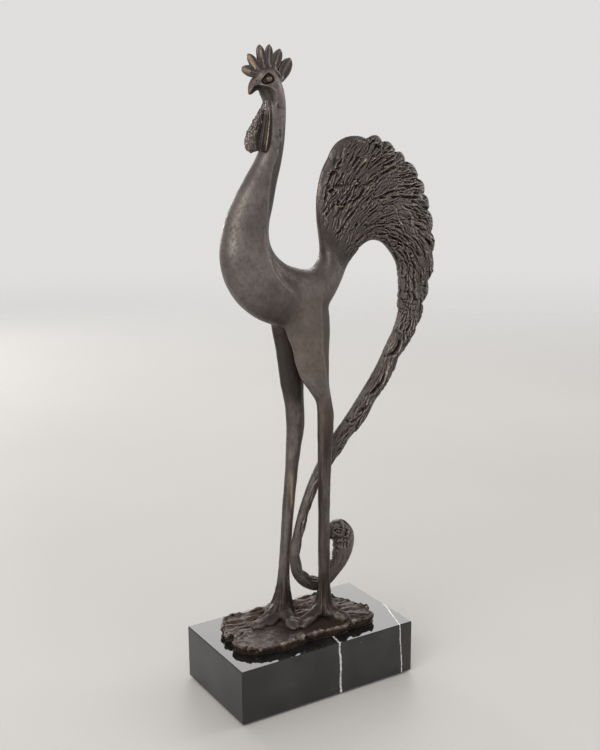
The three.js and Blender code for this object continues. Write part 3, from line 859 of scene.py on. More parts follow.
@dataclass(frozen=True)
class MarbleFinish:
    """Polished black marble with white veins. A vein is a thin sheet through the block, bent a little.

    Attributes:
        black: The stone's colour.
        cloud: Its colour in faint clouds.
        vein: The veins' colour.
        face_y: y of the block's long face nearer to the viewer, in millimetres from its middle.
        middle_z: The block's middle height in millimetres.
        veins: For each vein, x at the middle height on that face, how much x grows with y and with z, and the
            half width in millimetres.
    """

    black: Colour = (0.008, 0.0078, 0.008)
    cloud: Colour = (0.024, 0.023, 0.025)
    vein: Colour = (0.78, 0.76, 0.74)
    face_y: float = -60.0
    middle_z: float = 30.0
    veins: tuple[tuple[float, float, float, float], ...] = (
        (12.6, 0.12, -0.02, 0.7), (91.2, 0.3, -0.07, 0.42))

    def material(self) -> bpy.types.Material:
        """Builds the material.

        Returns:
            The material.
        """
        s = Shader(bpy.data.materials.new("polished_black_marble"))
        axes = s.node("ShaderNodeSeparateXYZ")
        s.feed(axes, {0: s.place})
        x, y, z = axes.outputs
        wander = s.math("MULTIPLY", s.math("SUBTRACT", s.noise(34, 4, 0.62), 0.5), 6 * MM)
        nibble = s.ramp(s.noise(4, 3, 0.6), 0.3, 0.62, 0.35, 1)
        colour = s.mix(s.ramp(s.noise(40, 5, 0.6), 0.4, 0.75), self.black, self.cloud)
        specks, where = s.ramp(s.cells(9), 0.03, 0.06, 1, 0), s.ramp(s.noise(20, 2), 0.55, 0.65, 0, 0.5)
        colour = s.mix(s.math("MULTIPLY", specks, where), colour, self.vein)
        for at, with_y, with_z, half in self.veins:
            away = s.math("SUBTRACT", x, at * MM)
            for axis, middle, slope in ((y, self.face_y, with_y), (z, self.middle_z, with_z)):
                shift = s.math("MULTIPLY", s.math("SUBTRACT", axis, middle * MM), slope)
                away = s.math("SUBTRACT", away, shift)
            away = s.math("ABSOLUTE", s.math("ADD", away, wander))
            white = s.math("MULTIPLY", s.ramp(away, half * MM, half * 1.9 * MM, 1, 0), nibble)
            colour = s.mix(white, colour, self.vein)
        s.feed(s.surface, {"Base Color": colour, "Roughness": 0.035, "IOR": 1.62})
        return s.owner


@dataclass(frozen=True)
class FeltFinish:
    """Dark felt: a soft fuzzy nap.

    Attributes:
        dark: Its colour between the fibres.
        light: Its colour on the fibres.
    """

    dark: Colour = (0.018, 0.022, 0.022)
    light: Colour = (0.05, 0.058, 0.056)

    def material(self) -> bpy.types.Material:
        """Builds the material.

        Returns:
            The material.
        """
        s = Shader(bpy.data.materials.new("dark_felt"))
        fibres = s.noise(0.5, 4, 0.7, s.stretched(1, 1, 3))
        colour = s.mix(s.ramp(fibres, 0.35, 0.7), self.dark, self.light)
        s.feed(s.surface, {
            "Base Color": colour, "Roughness": 0.95, "Sheen Weight": 0.25, "Normal": s.raise_by(fibres, 0.2)})
        return s.owner


@dataclass(frozen=True)
class MetalFinish:
    """Plain turned metal with fine tool marks round its upright axis.

    Attributes:
        name: The material's name.
        colour: The metal's colour.
        dull: Its colour where it has dulled.
        roughness: Its roughness.
    """

    name: str
    colour: Colour
    dull: Colour
    roughness: float

    def material(self) -> bpy.types.Material:
        """Builds the material.

        Returns:
            The material.
        """
        s = Shader(bpy.data.materials.new(self.name))
        turned = s.noise(0.35, 2, 0.5, s.stretched(0.15, 0.15, 1))
        stain = s.noise(5, 4, 0.6)
        colour = s.mix(s.ramp(stain, 0.35, 0.7), self.colour, self.dull)
        rough = s.math("ADD", s.ramp(turned, 0.3, 0.7, -0.05, 0.08), self.roughness)
        s.feed(s.surface, {
            "Base Color": colour, "Metallic": 1.0, "Roughness": rough, "Normal": s.raise_by(turned, 0.03)})
        return s.owner


SMOOTH_BRONZE = BronzeFinish(
    name="smooth_brown_bronze", deep=(0.032, 0.023, 0.02), skin=(0.12, 0.1, 0.092),
    pale=(0.178, 0.154, 0.142), gold=(0.42, 0.3, 0.18),
    wear=0.12, roughness=0.45, grain=0.05, pits=0.16, streaks=1.5)
CARVED_BRONZE = BronzeFinish(
    name="carved_brown_bronze", deep=(0.012, 0.009, 0.0078), skin=(0.09, 0.074, 0.067),
    pale=(0.145, 0.123, 0.112), gold=(0.46, 0.38, 0.28),
    wear=0.15, roughness=0.29, grain=0.06, pits=0.0, mottle=0.2, specks=0.0, hatch=0.4)
GOLDEN_BRONZE = BronzeFinish(
    name="golden_brown_bronze", deep=(0.016, 0.011, 0.0095), skin=(0.1, 0.082, 0.074),
    pale=(0.15, 0.127, 0.114), gold=(0.66, 0.5, 0.32), wear=0.85, roughness=0.33, grain=0.05, pits=0.05)
DARK_BRONZE = BronzeFinish(
    name="dark_eye_bronze", deep=(0.014, 0.01, 0.009), skin=(0.035, 0.03, 0.027),
    pale=(0.05, 0.042, 0.038), gold=(0.5, 0.4, 0.28), wear=0.3, roughness=0.14, grain=0.02, pits=0.02)
EARTH_BRONZE = BronzeFinish(
    name="earth_brown_bronze", deep=(0.022, 0.014, 0.011), skin=(0.088, 0.058, 0.049),
    pale=(0.125, 0.095, 0.082), gold=(0.42, 0.36, 0.27),
    wear=0.4, roughness=0.38, grain=0.07, pits=0.08, metal=0.3, gloss=0.15)


# The bird


class Mark(Enum):
    """The two marks that carving leaves."""

    TONGUE = "a raised tongue"
    STROKE = "a cut stroke"


@dataclass(frozen=True)
class CarvingPass:
    """One pass of marks along the strip's stream lines.

    Attributes:
        mark: What each of them is.
        count: How many.
        places: The first and the last place along the strip, counted in rows.
        lengths: The shortest and the longest in millimetres.
        seed: Picks their places.
        halves: The smallest and the largest half width in millimetres.
        depths: The smallest and the largest height or depth in millimetres.
    """

    mark: Mark
    count: int
    places: tuple[float, float]
    lengths: tuple[float, float]
    seed: int
    halves: tuple[float, float]
    depths: tuple[float, float]


@dataclass
class Tail:
    """The plume and the streamer: one strip from the root, over the arch and down to the curl.

    Attributes:
        rows: Slices across the strip: inner x and z, outer x and z, and half thickness.
        path: The streamer after them: x and z of its middle, half its width, and a share of its thickness.
        notches: Places of the notches between the feather tips along the outer edge, counted in rows.
        drift: How fast the stream lines drift outwards, for each millimetre of the edge, place by place.
        grooves: Grooves traced on the streamer, as lines of x and z.
        ridges: Ridges traced on it.
        plume_grooves: Grooves traced on the plume.
        plume_ridges: Ridges traced on it.
        groove_size: Half width and depth of the traced grooves.
        ridge_size: The same of the plume's ridges, where a depth below 0 stands up.
        scroll_eye: x and z of the rolled end's eye.
        streamer_half_thickness: The streamer's half thickness.
        seam_place: Where the streamer begins, counted in rows.
        tip_height: How far the plume's feather tips stand out.
        streamer_tip_height: How far the streamer's do.
        lock_height: The height of the locks that run out into the tips.
        passes: The passes of marks, in order.
        candidates: How many places are tried for each mark.
        line_points: Points along a mark.
        longest: The longest mark, counted in rows.
        overhang: How far a mark may pass the edge, in shares of the strip's width.
        stray: How far marks turn from the stream, in degrees.
        lean: How far they lean towards the inner edge near the root, in degrees.
        bend: How far they wander.
        relief_limits: The deepest cut and the highest ridge.
        plume_strands: How closely the plume's fine strands lie, to a unit of what each stream line keeps.
        streamer_strands: How closely the streamer's lie.
        strand_length: How long a fine strand is.
        voxel: The size of the faces.
    """

    rows: Rows = field(default_factory=lambda: [
        [48, 358, 33, 396, 14],
        [57, 374, 31, 409, 14],
        [63, 383, 27.5, 433, 13],
        [68, 389, 27.5, 458, 13],
        [73, 395, 34.5, 483, 13],
        [79, 401, 51, 503, 14],
        [86, 405, 76, 510, 14],
        [93, 407, 103, 508, 14],
        [100, 406.5, 123, 496, 14],
        [107, 404, 142, 481, 13],
        [113, 399.5, 156, 463, 12.5],
        [119, 393, 164, 443.5, 12],
        [124, 386, 170, 423, 11.5],
        [128.5, 377, 173.5, 398, 11],
        [131, 365, 172.5, 374, 10],
        [131.5, 348, 167.5, 350, 9],
        [130.8, 334, 161.8, 334, 8.2],
    ])
    path: Rows = field(default_factory=lambda: [
        [144.2, 321, 15, 1.3],
        [135.5, 303, 12.6, 1.15],
        [124.5, 287, 11.5, 1],
        [111, 264.5, 10.9, 1],
        [92.5, 240, 10.7, 1],
        [73.3, 216.7, 10.6, 1],
        [51.7, 194.4, 9.3, 1],
        [34.6, 172.6, 7.5, 1],
        [21.4, 152.4, 5.6, 1],
        [10.8, 128, 5.2, 1],
        [3.3, 104, 4.9, 1],
        [-1.5, 84, 4.9, 1],
        [-1.6, 68, 5.3, 1],
        [1, 57, 5.9, 1],
        [7.5, 48, 6.5, 1],
        [15.8, 41.7, 7, 1],
        [25.5, 37.5, 7.3, 1],
        [36, 39.3, 7.4, 1],
        [46, 47, 8, 1.1],
        [55, 58, 9.6, 1.3],
        [60.5, 71, 11.6, 1.5],
        [60.5, 86, 12.6, 1.6],
        [53, 95.5, 11.6, 1.6],
        [45, 94.5, 9.4, 1.4],
        [39.5, 89.5, 5, 0.8],
    ])
    notches: list[float] = field(default_factory=lambda: [
        4.4, 6.4, 7.15, 8, 8.65, 9.75, 10.6, 11.45, 12.5, 13.4, 14.65, 16, 17.2, 19.2, 20.95, 22.35, 24.2,
        26.2, 27.3, 28.3, 30, 31.6, 33.2, 34.6, 36, 37, 37.8, 38.6, 39.4, 40.2])
    drift: Rows = field(default_factory=lambda: [
        [0, 0.0004], [3.6, 0.0004], [5, 0.011], [13, 0.011], [17, 0.008]])
    grooves: list[Rows] = field(default_factory=lambda: [
        [[114, 280], [113, 271], [109, 260], [103, 252], [94, 245], [83, 242]],
        [[130, 300], [125, 287], [117, 283], [110, 281]],
        [[87, 230], [77, 225]],
        [[73, 218], [67, 216], [61, 218]],
        [[126, 309], [131, 301]],
    ])
    ridges: list[Rows] = field(default_factory=lambda: [
        [[117, 274], [114, 265], [109, 256], [103, 249], [95, 242]],
        [[126, 285], [122, 281], [118, 279]],
        [[88, 234], [86, 230], [79, 227]],
        [[124, 298], [121, 292], [115, 287]],
    ])
    plume_grooves: list[Rows] = field(default_factory=lambda: [
        [[88, 450], [97, 452], [104, 455], [110, 456]],
        [[89, 468], [96, 474], [104, 477], [113, 480], [123, 485], [132, 488]],
        [[110, 451], [125, 451], [140, 449], [152, 449]],
        [[121, 473], [137, 473], [148, 472]],
        [[130, 461], [140, 461], [149, 463]],
        [[43, 416], [50, 422], [58, 432], [67, 441]],
        [[137, 429], [139, 419]],
        [[93, 505], [102, 501]],
        [[69, 429], [68, 424]],
        [[78, 425], [83, 423]],
        [[40, 476], [45, 482]],
        [[38, 459], [42, 463]],
        [[46, 446], [48, 451]],
        [[71, 466], [69, 472]],
    ])
    plume_ridges: list[Rows] = field(default_factory=lambda: [
        [[105, 440], [111, 443], [118, 438], [121, 430], [126, 422], [129, 416]],
        [[125, 442], [131, 438], [138, 436]],
        [[98, 449], [105, 450]],
        [[141, 416], [143, 412], [146, 408]],
        [[105, 419], [113, 413]],
        [[145, 428], [150, 422], [151, 417]],
        [[156, 425], [161, 422], [165, 418]],
        [[54, 478], [57, 481]],
        [[60, 476], [66, 481]],
        [[39, 463], [40, 469]],
        [[73, 485], [81, 491]],
        [[78, 486], [84, 491]],
        [[81, 467], [87, 472], [92, 474]],
        [[103, 482], [114, 484]],
        [[121, 481], [134, 481]],
        [[140, 459], [152, 458]],
        [[32, 438], [35, 430]],
        [[48, 445], [54, 445]],
        [[90, 491], [95, 493]],
        [[75, 509], [84, 507]],
    ])
    groove_size: tuple[float, float] = (1.3, 2.6)
    ridge_size: tuple[float, float] = (0.9, -1.5)
    scroll_eye: tuple[float, float] = (48.5, 97)
    streamer_half_thickness: float = 5.5
    seam_place: float = 16.6
    tip_height: float = 5.0
    streamer_tip_height: float = 1.8
    lock_height: float = 2.0
    passes: tuple[CarvingPass, ...] = (
        CarvingPass(Mark.TONGUE, 210, (1.8, 17.6), (12, 34), 61, (2.2, 5.6), (1.2, 2.8)),
        CarvingPass(Mark.STROKE, 640, (1.8, 17.6), (5, 22), 62, (0.5, 1.15), (0.2, 1.3)),
        CarvingPass(Mark.STROKE, 800, (1.8, 17.6), (3, 11), 65, (0.4, 0.6), (0.3, 1.0)),
        CarvingPass(Mark.STROKE, 330, (16, 23.4), (14, 34), 63, (0.45, 0.9), (0.3, 1.0)),
        CarvingPass(Mark.STROKE, 130, (23.4, 39), (12, 30), 64, (0.5, 0.9), (0.15, 0.6)),
    )
    candidates: int = 60
    line_points: int = 9
    longest: float = 2.4
    overhang: float = 0.06
    stray: float = 9.0
    lean: float = 16.0
    bend: float = 2.4
    relief_limits: tuple[float, float] = (-3.4, 3.0)
    plume_strands: float = 55.0
    streamer_strands: float = 13.0
    strand_length: float = 8.0
    voxel: float = 0.55

    def strip(self) -> Array:
        """The whole strip's slices.

        Returns:
            The plume's slices and, after them, the streamer's path made into slices square to it.
        """
        path = np.array(self.path)
        along = np.gradient(path[:, :2], axis=0)
        along /= np.linalg.norm(along, axis=1, keepdims=True)
        out = np.stack([-along[:, 1], along[:, 0]], axis=1)
        inner = path[:, :2] - out * path[:, 2:3]
        outer = path[:, :2] + out * path[:, 2:3]
        half = path[:, 3:4] * self.streamer_half_thickness
        return np.concatenate([np.array(self.rows), np.concatenate([inner, outer, half], axis=1)])

    def past_notch(self, places: Array) -> Array:
        """How far places along the strip lie from one notch to the next.

        Args:
            places: The places, counted in rows.

        Returns:
            The share of the way, from 0 to 1.
        """
        notches = np.array(self.notches)
        index = np.clip(np.searchsorted(notches, places) - 1, 0, len(notches) - 2)
        return np.clip((places - notches[index]) / (notches[index + 1] - notches[index]), 0, 1)

    def tip_shape(self, places: Array) -> Array:
        """Height of a feather tip, sin(pi t^1.25)^0.7 with t from notch to notch, and 0 outside them."""
        return np.sin(np.pi * self.past_notch(places) ** 1.25).clip(0) ** 0.7

    def rings(self, places: Array, around: int, tips: bool = True) -> Array:
        """Rings round the strip.

        With c and s the cosine and sine round the ring and q = (1 - c) / 2, a point lies at q of the way from
        the inner to the outer edge and, in the plume, at half (1 - 0.35 q) |s|^0.85 to the side.

        Args:
            places: Places along the strip, counted in rows.
            around: Points in a ring.
            tips: Whether the feather tips stand out along the outer edge.

        Returns:
            The points, (places, around, 3).
        """
        table = smooth_rows(self.strip(), places)
        inner, outer, half = table[:, None, :2], table[:, None, 2:4], table[:, None, 4]
        c, s = (values[None] for values in round_ring(around))
        q = (1 - c) / 2
        length = np.linalg.norm(outer - inner, axis=-1)
        plume = smooth_step(17.5, 15, places)[:, None]
        tip_height = self.streamer_tip_height + (self.tip_height - self.streamer_tip_height) * plume
        whole = length + (tip_height * self.tip_shape(places)[:, None] * q**3 if tips else 0)
        flat = inner + (outer - inner) * (q * whole / length)[..., None]
        side = half * (1 - 0.35 * q * plume) * np.abs(s) ** (0.95 - 0.1 * plume)
        return np.stack([flat[..., 0], np.sign(np.round(s, 9)) * side, flat[..., 1]], axis=-1)

    def drift_table(self) -> tuple[Array, Array, Array]:
        """How the stream lines drift.

        Returns:
            Places along the strip, the outer edge's length up to them, and how far the lines have drifted.
        """
        fine = np.linspace(0, len(self.strip()) - 1, 2000)
        edge = smooth_rows(self.strip(), fine)[:, 2:4]
        run = np.concatenate([[0], np.cumsum(np.linalg.norm(np.diff(edge, axis=0), axis=1))])
        rate = np.interp(fine, *zip(*self.drift))
        return fine, run, np.concatenate([[0], np.cumsum(rate[1:] * np.diff(run))])

    def flat_at(self, places: Array, q: Array) -> Array:
        """Points of the strip.

        Args:
            places: Places along it, counted in rows.
            q: Shares of the way from the inner to the outer edge, of the same shape.

        Returns:
            Their x and z, (..., 2).
        """
        table = smooth_rows(self.strip(), places.ravel()).reshape(*places.shape, -1)
        return table[..., :2] + (table[..., 2:4] - table[..., :2]) * q[..., None]

    def stream_lines(self, work: CarvingPass) -> Array:
        """Short pieces of stream lines, spread evenly over the strip.

        A stream line keeps q exp(-R), where R adds up a rate along the outer edge, so it drifts outwards and
        leaves the strip at its own place on the edge.

        Args:
            work: The pass whose marks follow them.

        Returns:
            The pieces, (count, points, 2), ordered from the end of the strip to its root.
        """
        dice = np.random.default_rng(work.seed)
        fine, _, drifted = self.drift_table()
        tried = self.candidates * work.count
        places, q = dice.uniform(*work.places, tried), dice.uniform(0.02, 0.98, tried)
        step, rise = 0.05, 0.02
        here = self.flat_at(places, q)
        ahead, out = self.flat_at(places + step, q) - here, self.flat_at(places, q + rise) - here
        area = np.abs(ahead[:, 0] * out[:, 1] - ahead[:, 1] * out[:, 0])
        picked = dice.choice(tried, work.count, replace=False, p=area / area.sum())
        picked = picked[np.argsort(-places[picked])]
        places, q = places[picked, None], q[picked, None]
        speed = np.linalg.norm(ahead, axis=1)[picked, None] / step
        reach = np.minimum(dice.uniform(*work.lengths, (work.count, 1)) / speed, self.longest)
        steps = np.clip(places + reach * np.linspace(0, 1, self.line_points)[None], 0, fine[-1])
        lines = q * np.exp(np.interp(steps, fine, drifted) - np.interp(places, fine, drifted))
        flat = self.flat_at(steps, np.minimum(lines, 1 + self.overhang))
        stray = dice.normal(0, self.stray, (work.count, 1))
        turn = np.radians(stray - self.lean * smooth_step(8, 4, places))
        start = flat[:, :1]
        ax, az = (flat - start)[..., 0], (flat - start)[..., 1]
        c, s = np.cos(turn), np.sin(turn)
        flat = start + np.stack([ax * c - az * s, ax * s + az * c], axis=-1)
        wander = np.stack([lattice_noise(flat / 7, 31), lattice_noise(flat / 7, 32)], axis=-1)
        return flat + self.bend * wander * np.linspace(0.2, 1, self.line_points)[None, :, None]

    def carve(self) -> tuple[ReliefMap, dict[str, Array]]:
        """Carves the relief: locks that run out into the feather tips, and marks over them.

        Returns:
            The relief, and on the same grid: how far it stands over its surroundings, and two measures for
            fine strands, one that each stream line keeps and one that grows along the strip.
        """
        relief = ReliefMap()
        dice = np.random.default_rng(5)
        for work in self.passes:
            leave_mark = relief.tongue if work.mark is Mark.TONGUE else relief.stroke
            for line in self.stream_lines(work):
                leave_mark(line, dice.uniform(*work.halves), dice.uniform(*work.depths))
        for lines, size in ((self.grooves + self.plume_grooves, self.groove_size),
                            (self.plume_ridges, self.ridge_size)):
            for line in lines:
                relief.stroke(smooth_rows(line, np.linspace(0, len(line) - 1, 16)), *size)
        places, q = np.linspace(0, len(self.strip()) - 1, 2600)[:, None], np.linspace(0.004, 1, 300)[None]
        flat = self.flat_at(*np.broadcast_arrays(places, q))
        fine, run, drifted = self.drift_table()
        along = np.interp(places, fine, run)
        kept = np.interp(places, fine, drifted) - np.log(q)
        # Where each stream line leaves the strip, which says on which feather's lock it lies
        leave_run = np.interp(kept, drifted, run)
        leave = np.interp(leave_run, run, fine) + np.maximum(kept - drifted[-1], 0)
        lock = np.sin(np.pi * self.past_notch(leave) ** 1.5).clip(0) ** 0.6 - 0.7
        lock = lock * smooth_step(60, 10, leave_run - along)
        # The strip stays smooth at its front edge, its root and the streamer's inner half
        streamer = smooth_step(15.5, 18.5, places)
        from_front = (1 - q) * np.linalg.norm(flat[:, -1:] - flat[:, :1], axis=-1)
        rough = np.maximum(smooth_step(4, 9, from_front), smooth_step(4.6, 6.0, places))
        inner_half = streamer * smooth_step(0.5, 0.3, q) * smooth_step(36, 34, places)
        rough = rough * smooth_step(0.6, 1.8, places) * (1 - 0.6 * inner_half)
        lock_map = relief.scattered(flat, self.lock_height * lock * (1 - 0.6 * streamer))
        relief.heights = np.clip(
            relief.heights * relief.scattered(flat, rough) + lock_map, *self.relief_limits)
        return relief, {
            "stands": relief.heights - relief.blurred(relief.heights, 4),
            "across": relief.scattered(flat, kept),
            "along": relief.scattered(flat, np.broadcast_to(along, kept.shape)) / self.strand_length}

    def scroll(self, points: Array) -> Array:
        """Relief of the rolled end: a lumpy spiral round a deep eye, cos(2 pi (r / 8 - turn) + noise).

        Args:
            points: The points.

        Returns:
            The height in millimetres, which fades to nothing away from the roll.
        """
        from_eye = points[:, [0, 2]] - np.array(self.scroll_eye)
        radius = np.linalg.norm(from_eye, axis=-1)
        turn = np.arctan2(from_eye[..., 1], from_eye[..., 0]) / (2 * np.pi)
        lumps = layered_noise(points, 6.5, 17)
        wave = np.cos(2 * np.pi * (radius / 8 - turn + 0.5 * lumps))
        height = 0.8 * wave + 1.3 * lumps - 2.2 * bump(radius, 2.4) + 0.3 * layered_noise(points, 2.2, 19, 2)
        return height * smooth_step(27, 15, radius)

    def build(self, host: bpy.types.Mesh) -> None:
        """Builds the plume, whose root follows the casting that it runs into, and the streamer.

        Args:
            host: The casting with the tail's root in it.
        """
        material = CARVED_BRONZE.material()
        relief, maps = self.carve()
        plume = self.piece(np.linspace(0.2, self.seam_place, 300), 150, self.plume_strands, relief, maps)
        whole = self.follow(plume.to_mesh("carved_plume"), host)
        mesh = cut_mesh(whole, "carved_plume", [TAIL_CUT.turned()])
        show_piece(mesh, "carved_plume", ["tail_plume"], material)
        places = np.linspace(self.seam_place, len(self.strip()) - 1, 600)
        streamer = self.piece(places, 90, self.streamer_strands, relief, maps)
        show_piece(streamer, "carved_streamer", ["tail_streamer"], material)

    def piece(
        self, places: Array, around: int, strands: float, relief: ReliefMap, maps: dict[str, Array]
    ) -> Surface:
        """One part of the strip, laid out in even small faces and carved.

        Args:
            places: Its places along the strip, counted in rows.
            around: Points in a ring.
            strands: How closely fine strands lie, in strands to a unit of the measure that stream lines keep.
            relief: The relief.
            maps: The grids that carving gives with it.

        Returns:
            The surface with its marks.
        """
        surface = fused([Surface.from_rings(self.rings(places, around))], self.voxel)
        surface.points = surface.relaxed(0.5, 3)
        x, z = surface.points[:, 0], surface.points[:, 2]
        face = surface.normals()[:, 1]
        bold = np.clip(1.12 + 0.9 * layered_noise(surface.points * [1, 0, 1], 14, 12, 2), 0.7, 1.5)
        height = np.clip(bold * relief.sample(relief.heights, x, z), *self.relief_limits)
        height = height + self.scroll(surface.points)
        surface.points[:, 1] += height * np.sign(face) * smooth_step(0.1, 0.6, np.abs(face))
        surface.mark_proud(0.45)
        stands = bold * relief.sample(maps["stands"], x, z)
        surface.marks["across"] = strands * relief.sample(maps["across"], x, z)
        surface.marks["along"] = relief.sample(maps["along"], x, z)
        ridges = np.maximum.reduce([
            bump(distance_to_line(x, z, line)[0], 1.0) for line in self.ridges + self.plume_ridges])
        broken = smooth_step(-0.4, 0.4, layered_noise(surface.points, 5, 9, 2))
        patches = smooth_step(-0.2, 0.6, layered_noise(surface.points, 14, 8, 2))
        worn = 0.3 * smooth_step(0.5, 1.1, stands) * patches + 0.45 * ridges * broken
        surface.marks["wear_and_highlight"] = np.clip(worn, 0, 1)
        # Painted shade: the carving's grooves are darkened, and so are the faces that turn to the side near
        # the plume's front and top, while its edges stay light.
        painted_face_shade = 0.45 * smooth_step(0.5, 0.9, np.abs(face)) * smooth_step(120, 40, x)
        painted_face_shade = painted_face_shade * smooth_step(300, 360, z)
        surface.marks["shade"] = np.maximum(0.85 * smooth_step(-0.2, -1.0, stands), painted_face_shade)
        return surface

    def follow(self, mesh: bpy.types.Mesh, host: bpy.types.Mesh) -> bpy.types.Mesh:
        """Draws the root's surface onto the casting that it runs into, less and less away from the seam.

        Args:
            mesh: The plume.
            host: The casting.

        Returns:
            The plume as a new mesh.
        """
        piece = bpy.data.objects.new("root_blank", mesh)
        target = bpy.data.objects.new("root_host", host)
        for one in (piece, target):
            bpy.context.scene.collection.objects.link(one)
        facing = np.array(TAIL_CUT.faces) / np.linalg.norm(TAIL_CUT.faces)
        past = (mesh_points(mesh) - np.array(TAIL_CUT.at)) @ facing
        group = piece.vertex_groups.new(name="root")
        finest = 50
        levels = np.round(smooth_step(24, 5, past) * finest).astype(int)
        for level in np.unique(levels):
            group.add(np.flatnonzero(levels == level).tolist(), float(level) / finest, "REPLACE")
        wrap = piece.modifiers.new("follow", "SHRINKWRAP")
        wrap.target = target
        wrap.vertex_group = "root"
        made = bpy.data.meshes.new_from_object(piece.evaluated_get(bpy.context.evaluated_depsgraph_get()))
        for one in (piece, target):
            bpy.data.objects.remove(one)
        return made


@dataclass
class Leg:
    """One leg: level egg sections from the thigh to the ankle, and the toes.

    Attributes:
        side: Which leg.
        rows: Height, x of the middle, half depth, half width, the ridge's share of the way back, and crease.
        toes: Each toe's tip, x and y from the ankle, and its half width at the ankle.
        aside: How far the leg stands from the bird's middle plane.
        ground: The height of the ground plate's top.
        toe_shape: Along a toe: the share of the way to its tip, its height over the ground, and a share of
            its half width.
    """

    side: Side
    rows: Rows
    toes: Rows
    aside: float = 13.0
    ground: float = 8.0
    toe_shape: Rows = field(default_factory=lambda: [
        [0, 15, 1.1], [0.16, 10, 1.2], [0.36, 5.4, 1.15], [0.6, 3.2, 1.1], [0.8, 2.3, 1.05],
        [0.93, 1.5, 0.66], [1.0, 0.6, 0.14]])

    def ankle(self) -> tuple[float, float]:
        """The ankle's x and y."""
        return self.rows[-1][1], self.side.value * self.aside

    def surfaces(self) -> list[Surface]:
        """The leg and its toes.

        Returns:
            Surfaces that pass into each other.
        """
        rows = [[x - deep, z, x + deep, z, wide, ridge, crease]
                for z, x, deep, wide, ridge, crease in self.rows]
        leg = Surface.from_rings(egg_rings(rows, 220, 48, self.side.value * self.aside))
        return [leg] + [self.toe(*toe) for toe in self.toes]

    def toe(self, tip_x: float, tip_y: float, half: float) -> Surface:
        """One toe: a low oval limb that leaves the ankle, swells at its knuckles and ends in a claw.

        Args:
            tip_x: The tip's x from the ankle.
            tip_y: The tip's y from the ankle.
            half: The half width at the ankle.

        Returns:
            The toe's surface.
        """
        x, y = self.ankle()
        rows = [[x + tip_x * share, y + tip_y * share, self.ground + height, 0.6 * half * size, half * size]
                for share, height, size in self.toe_shape]
        return Surface.from_rings(limb_rings(rows, 60, 28, UPRIGHT))


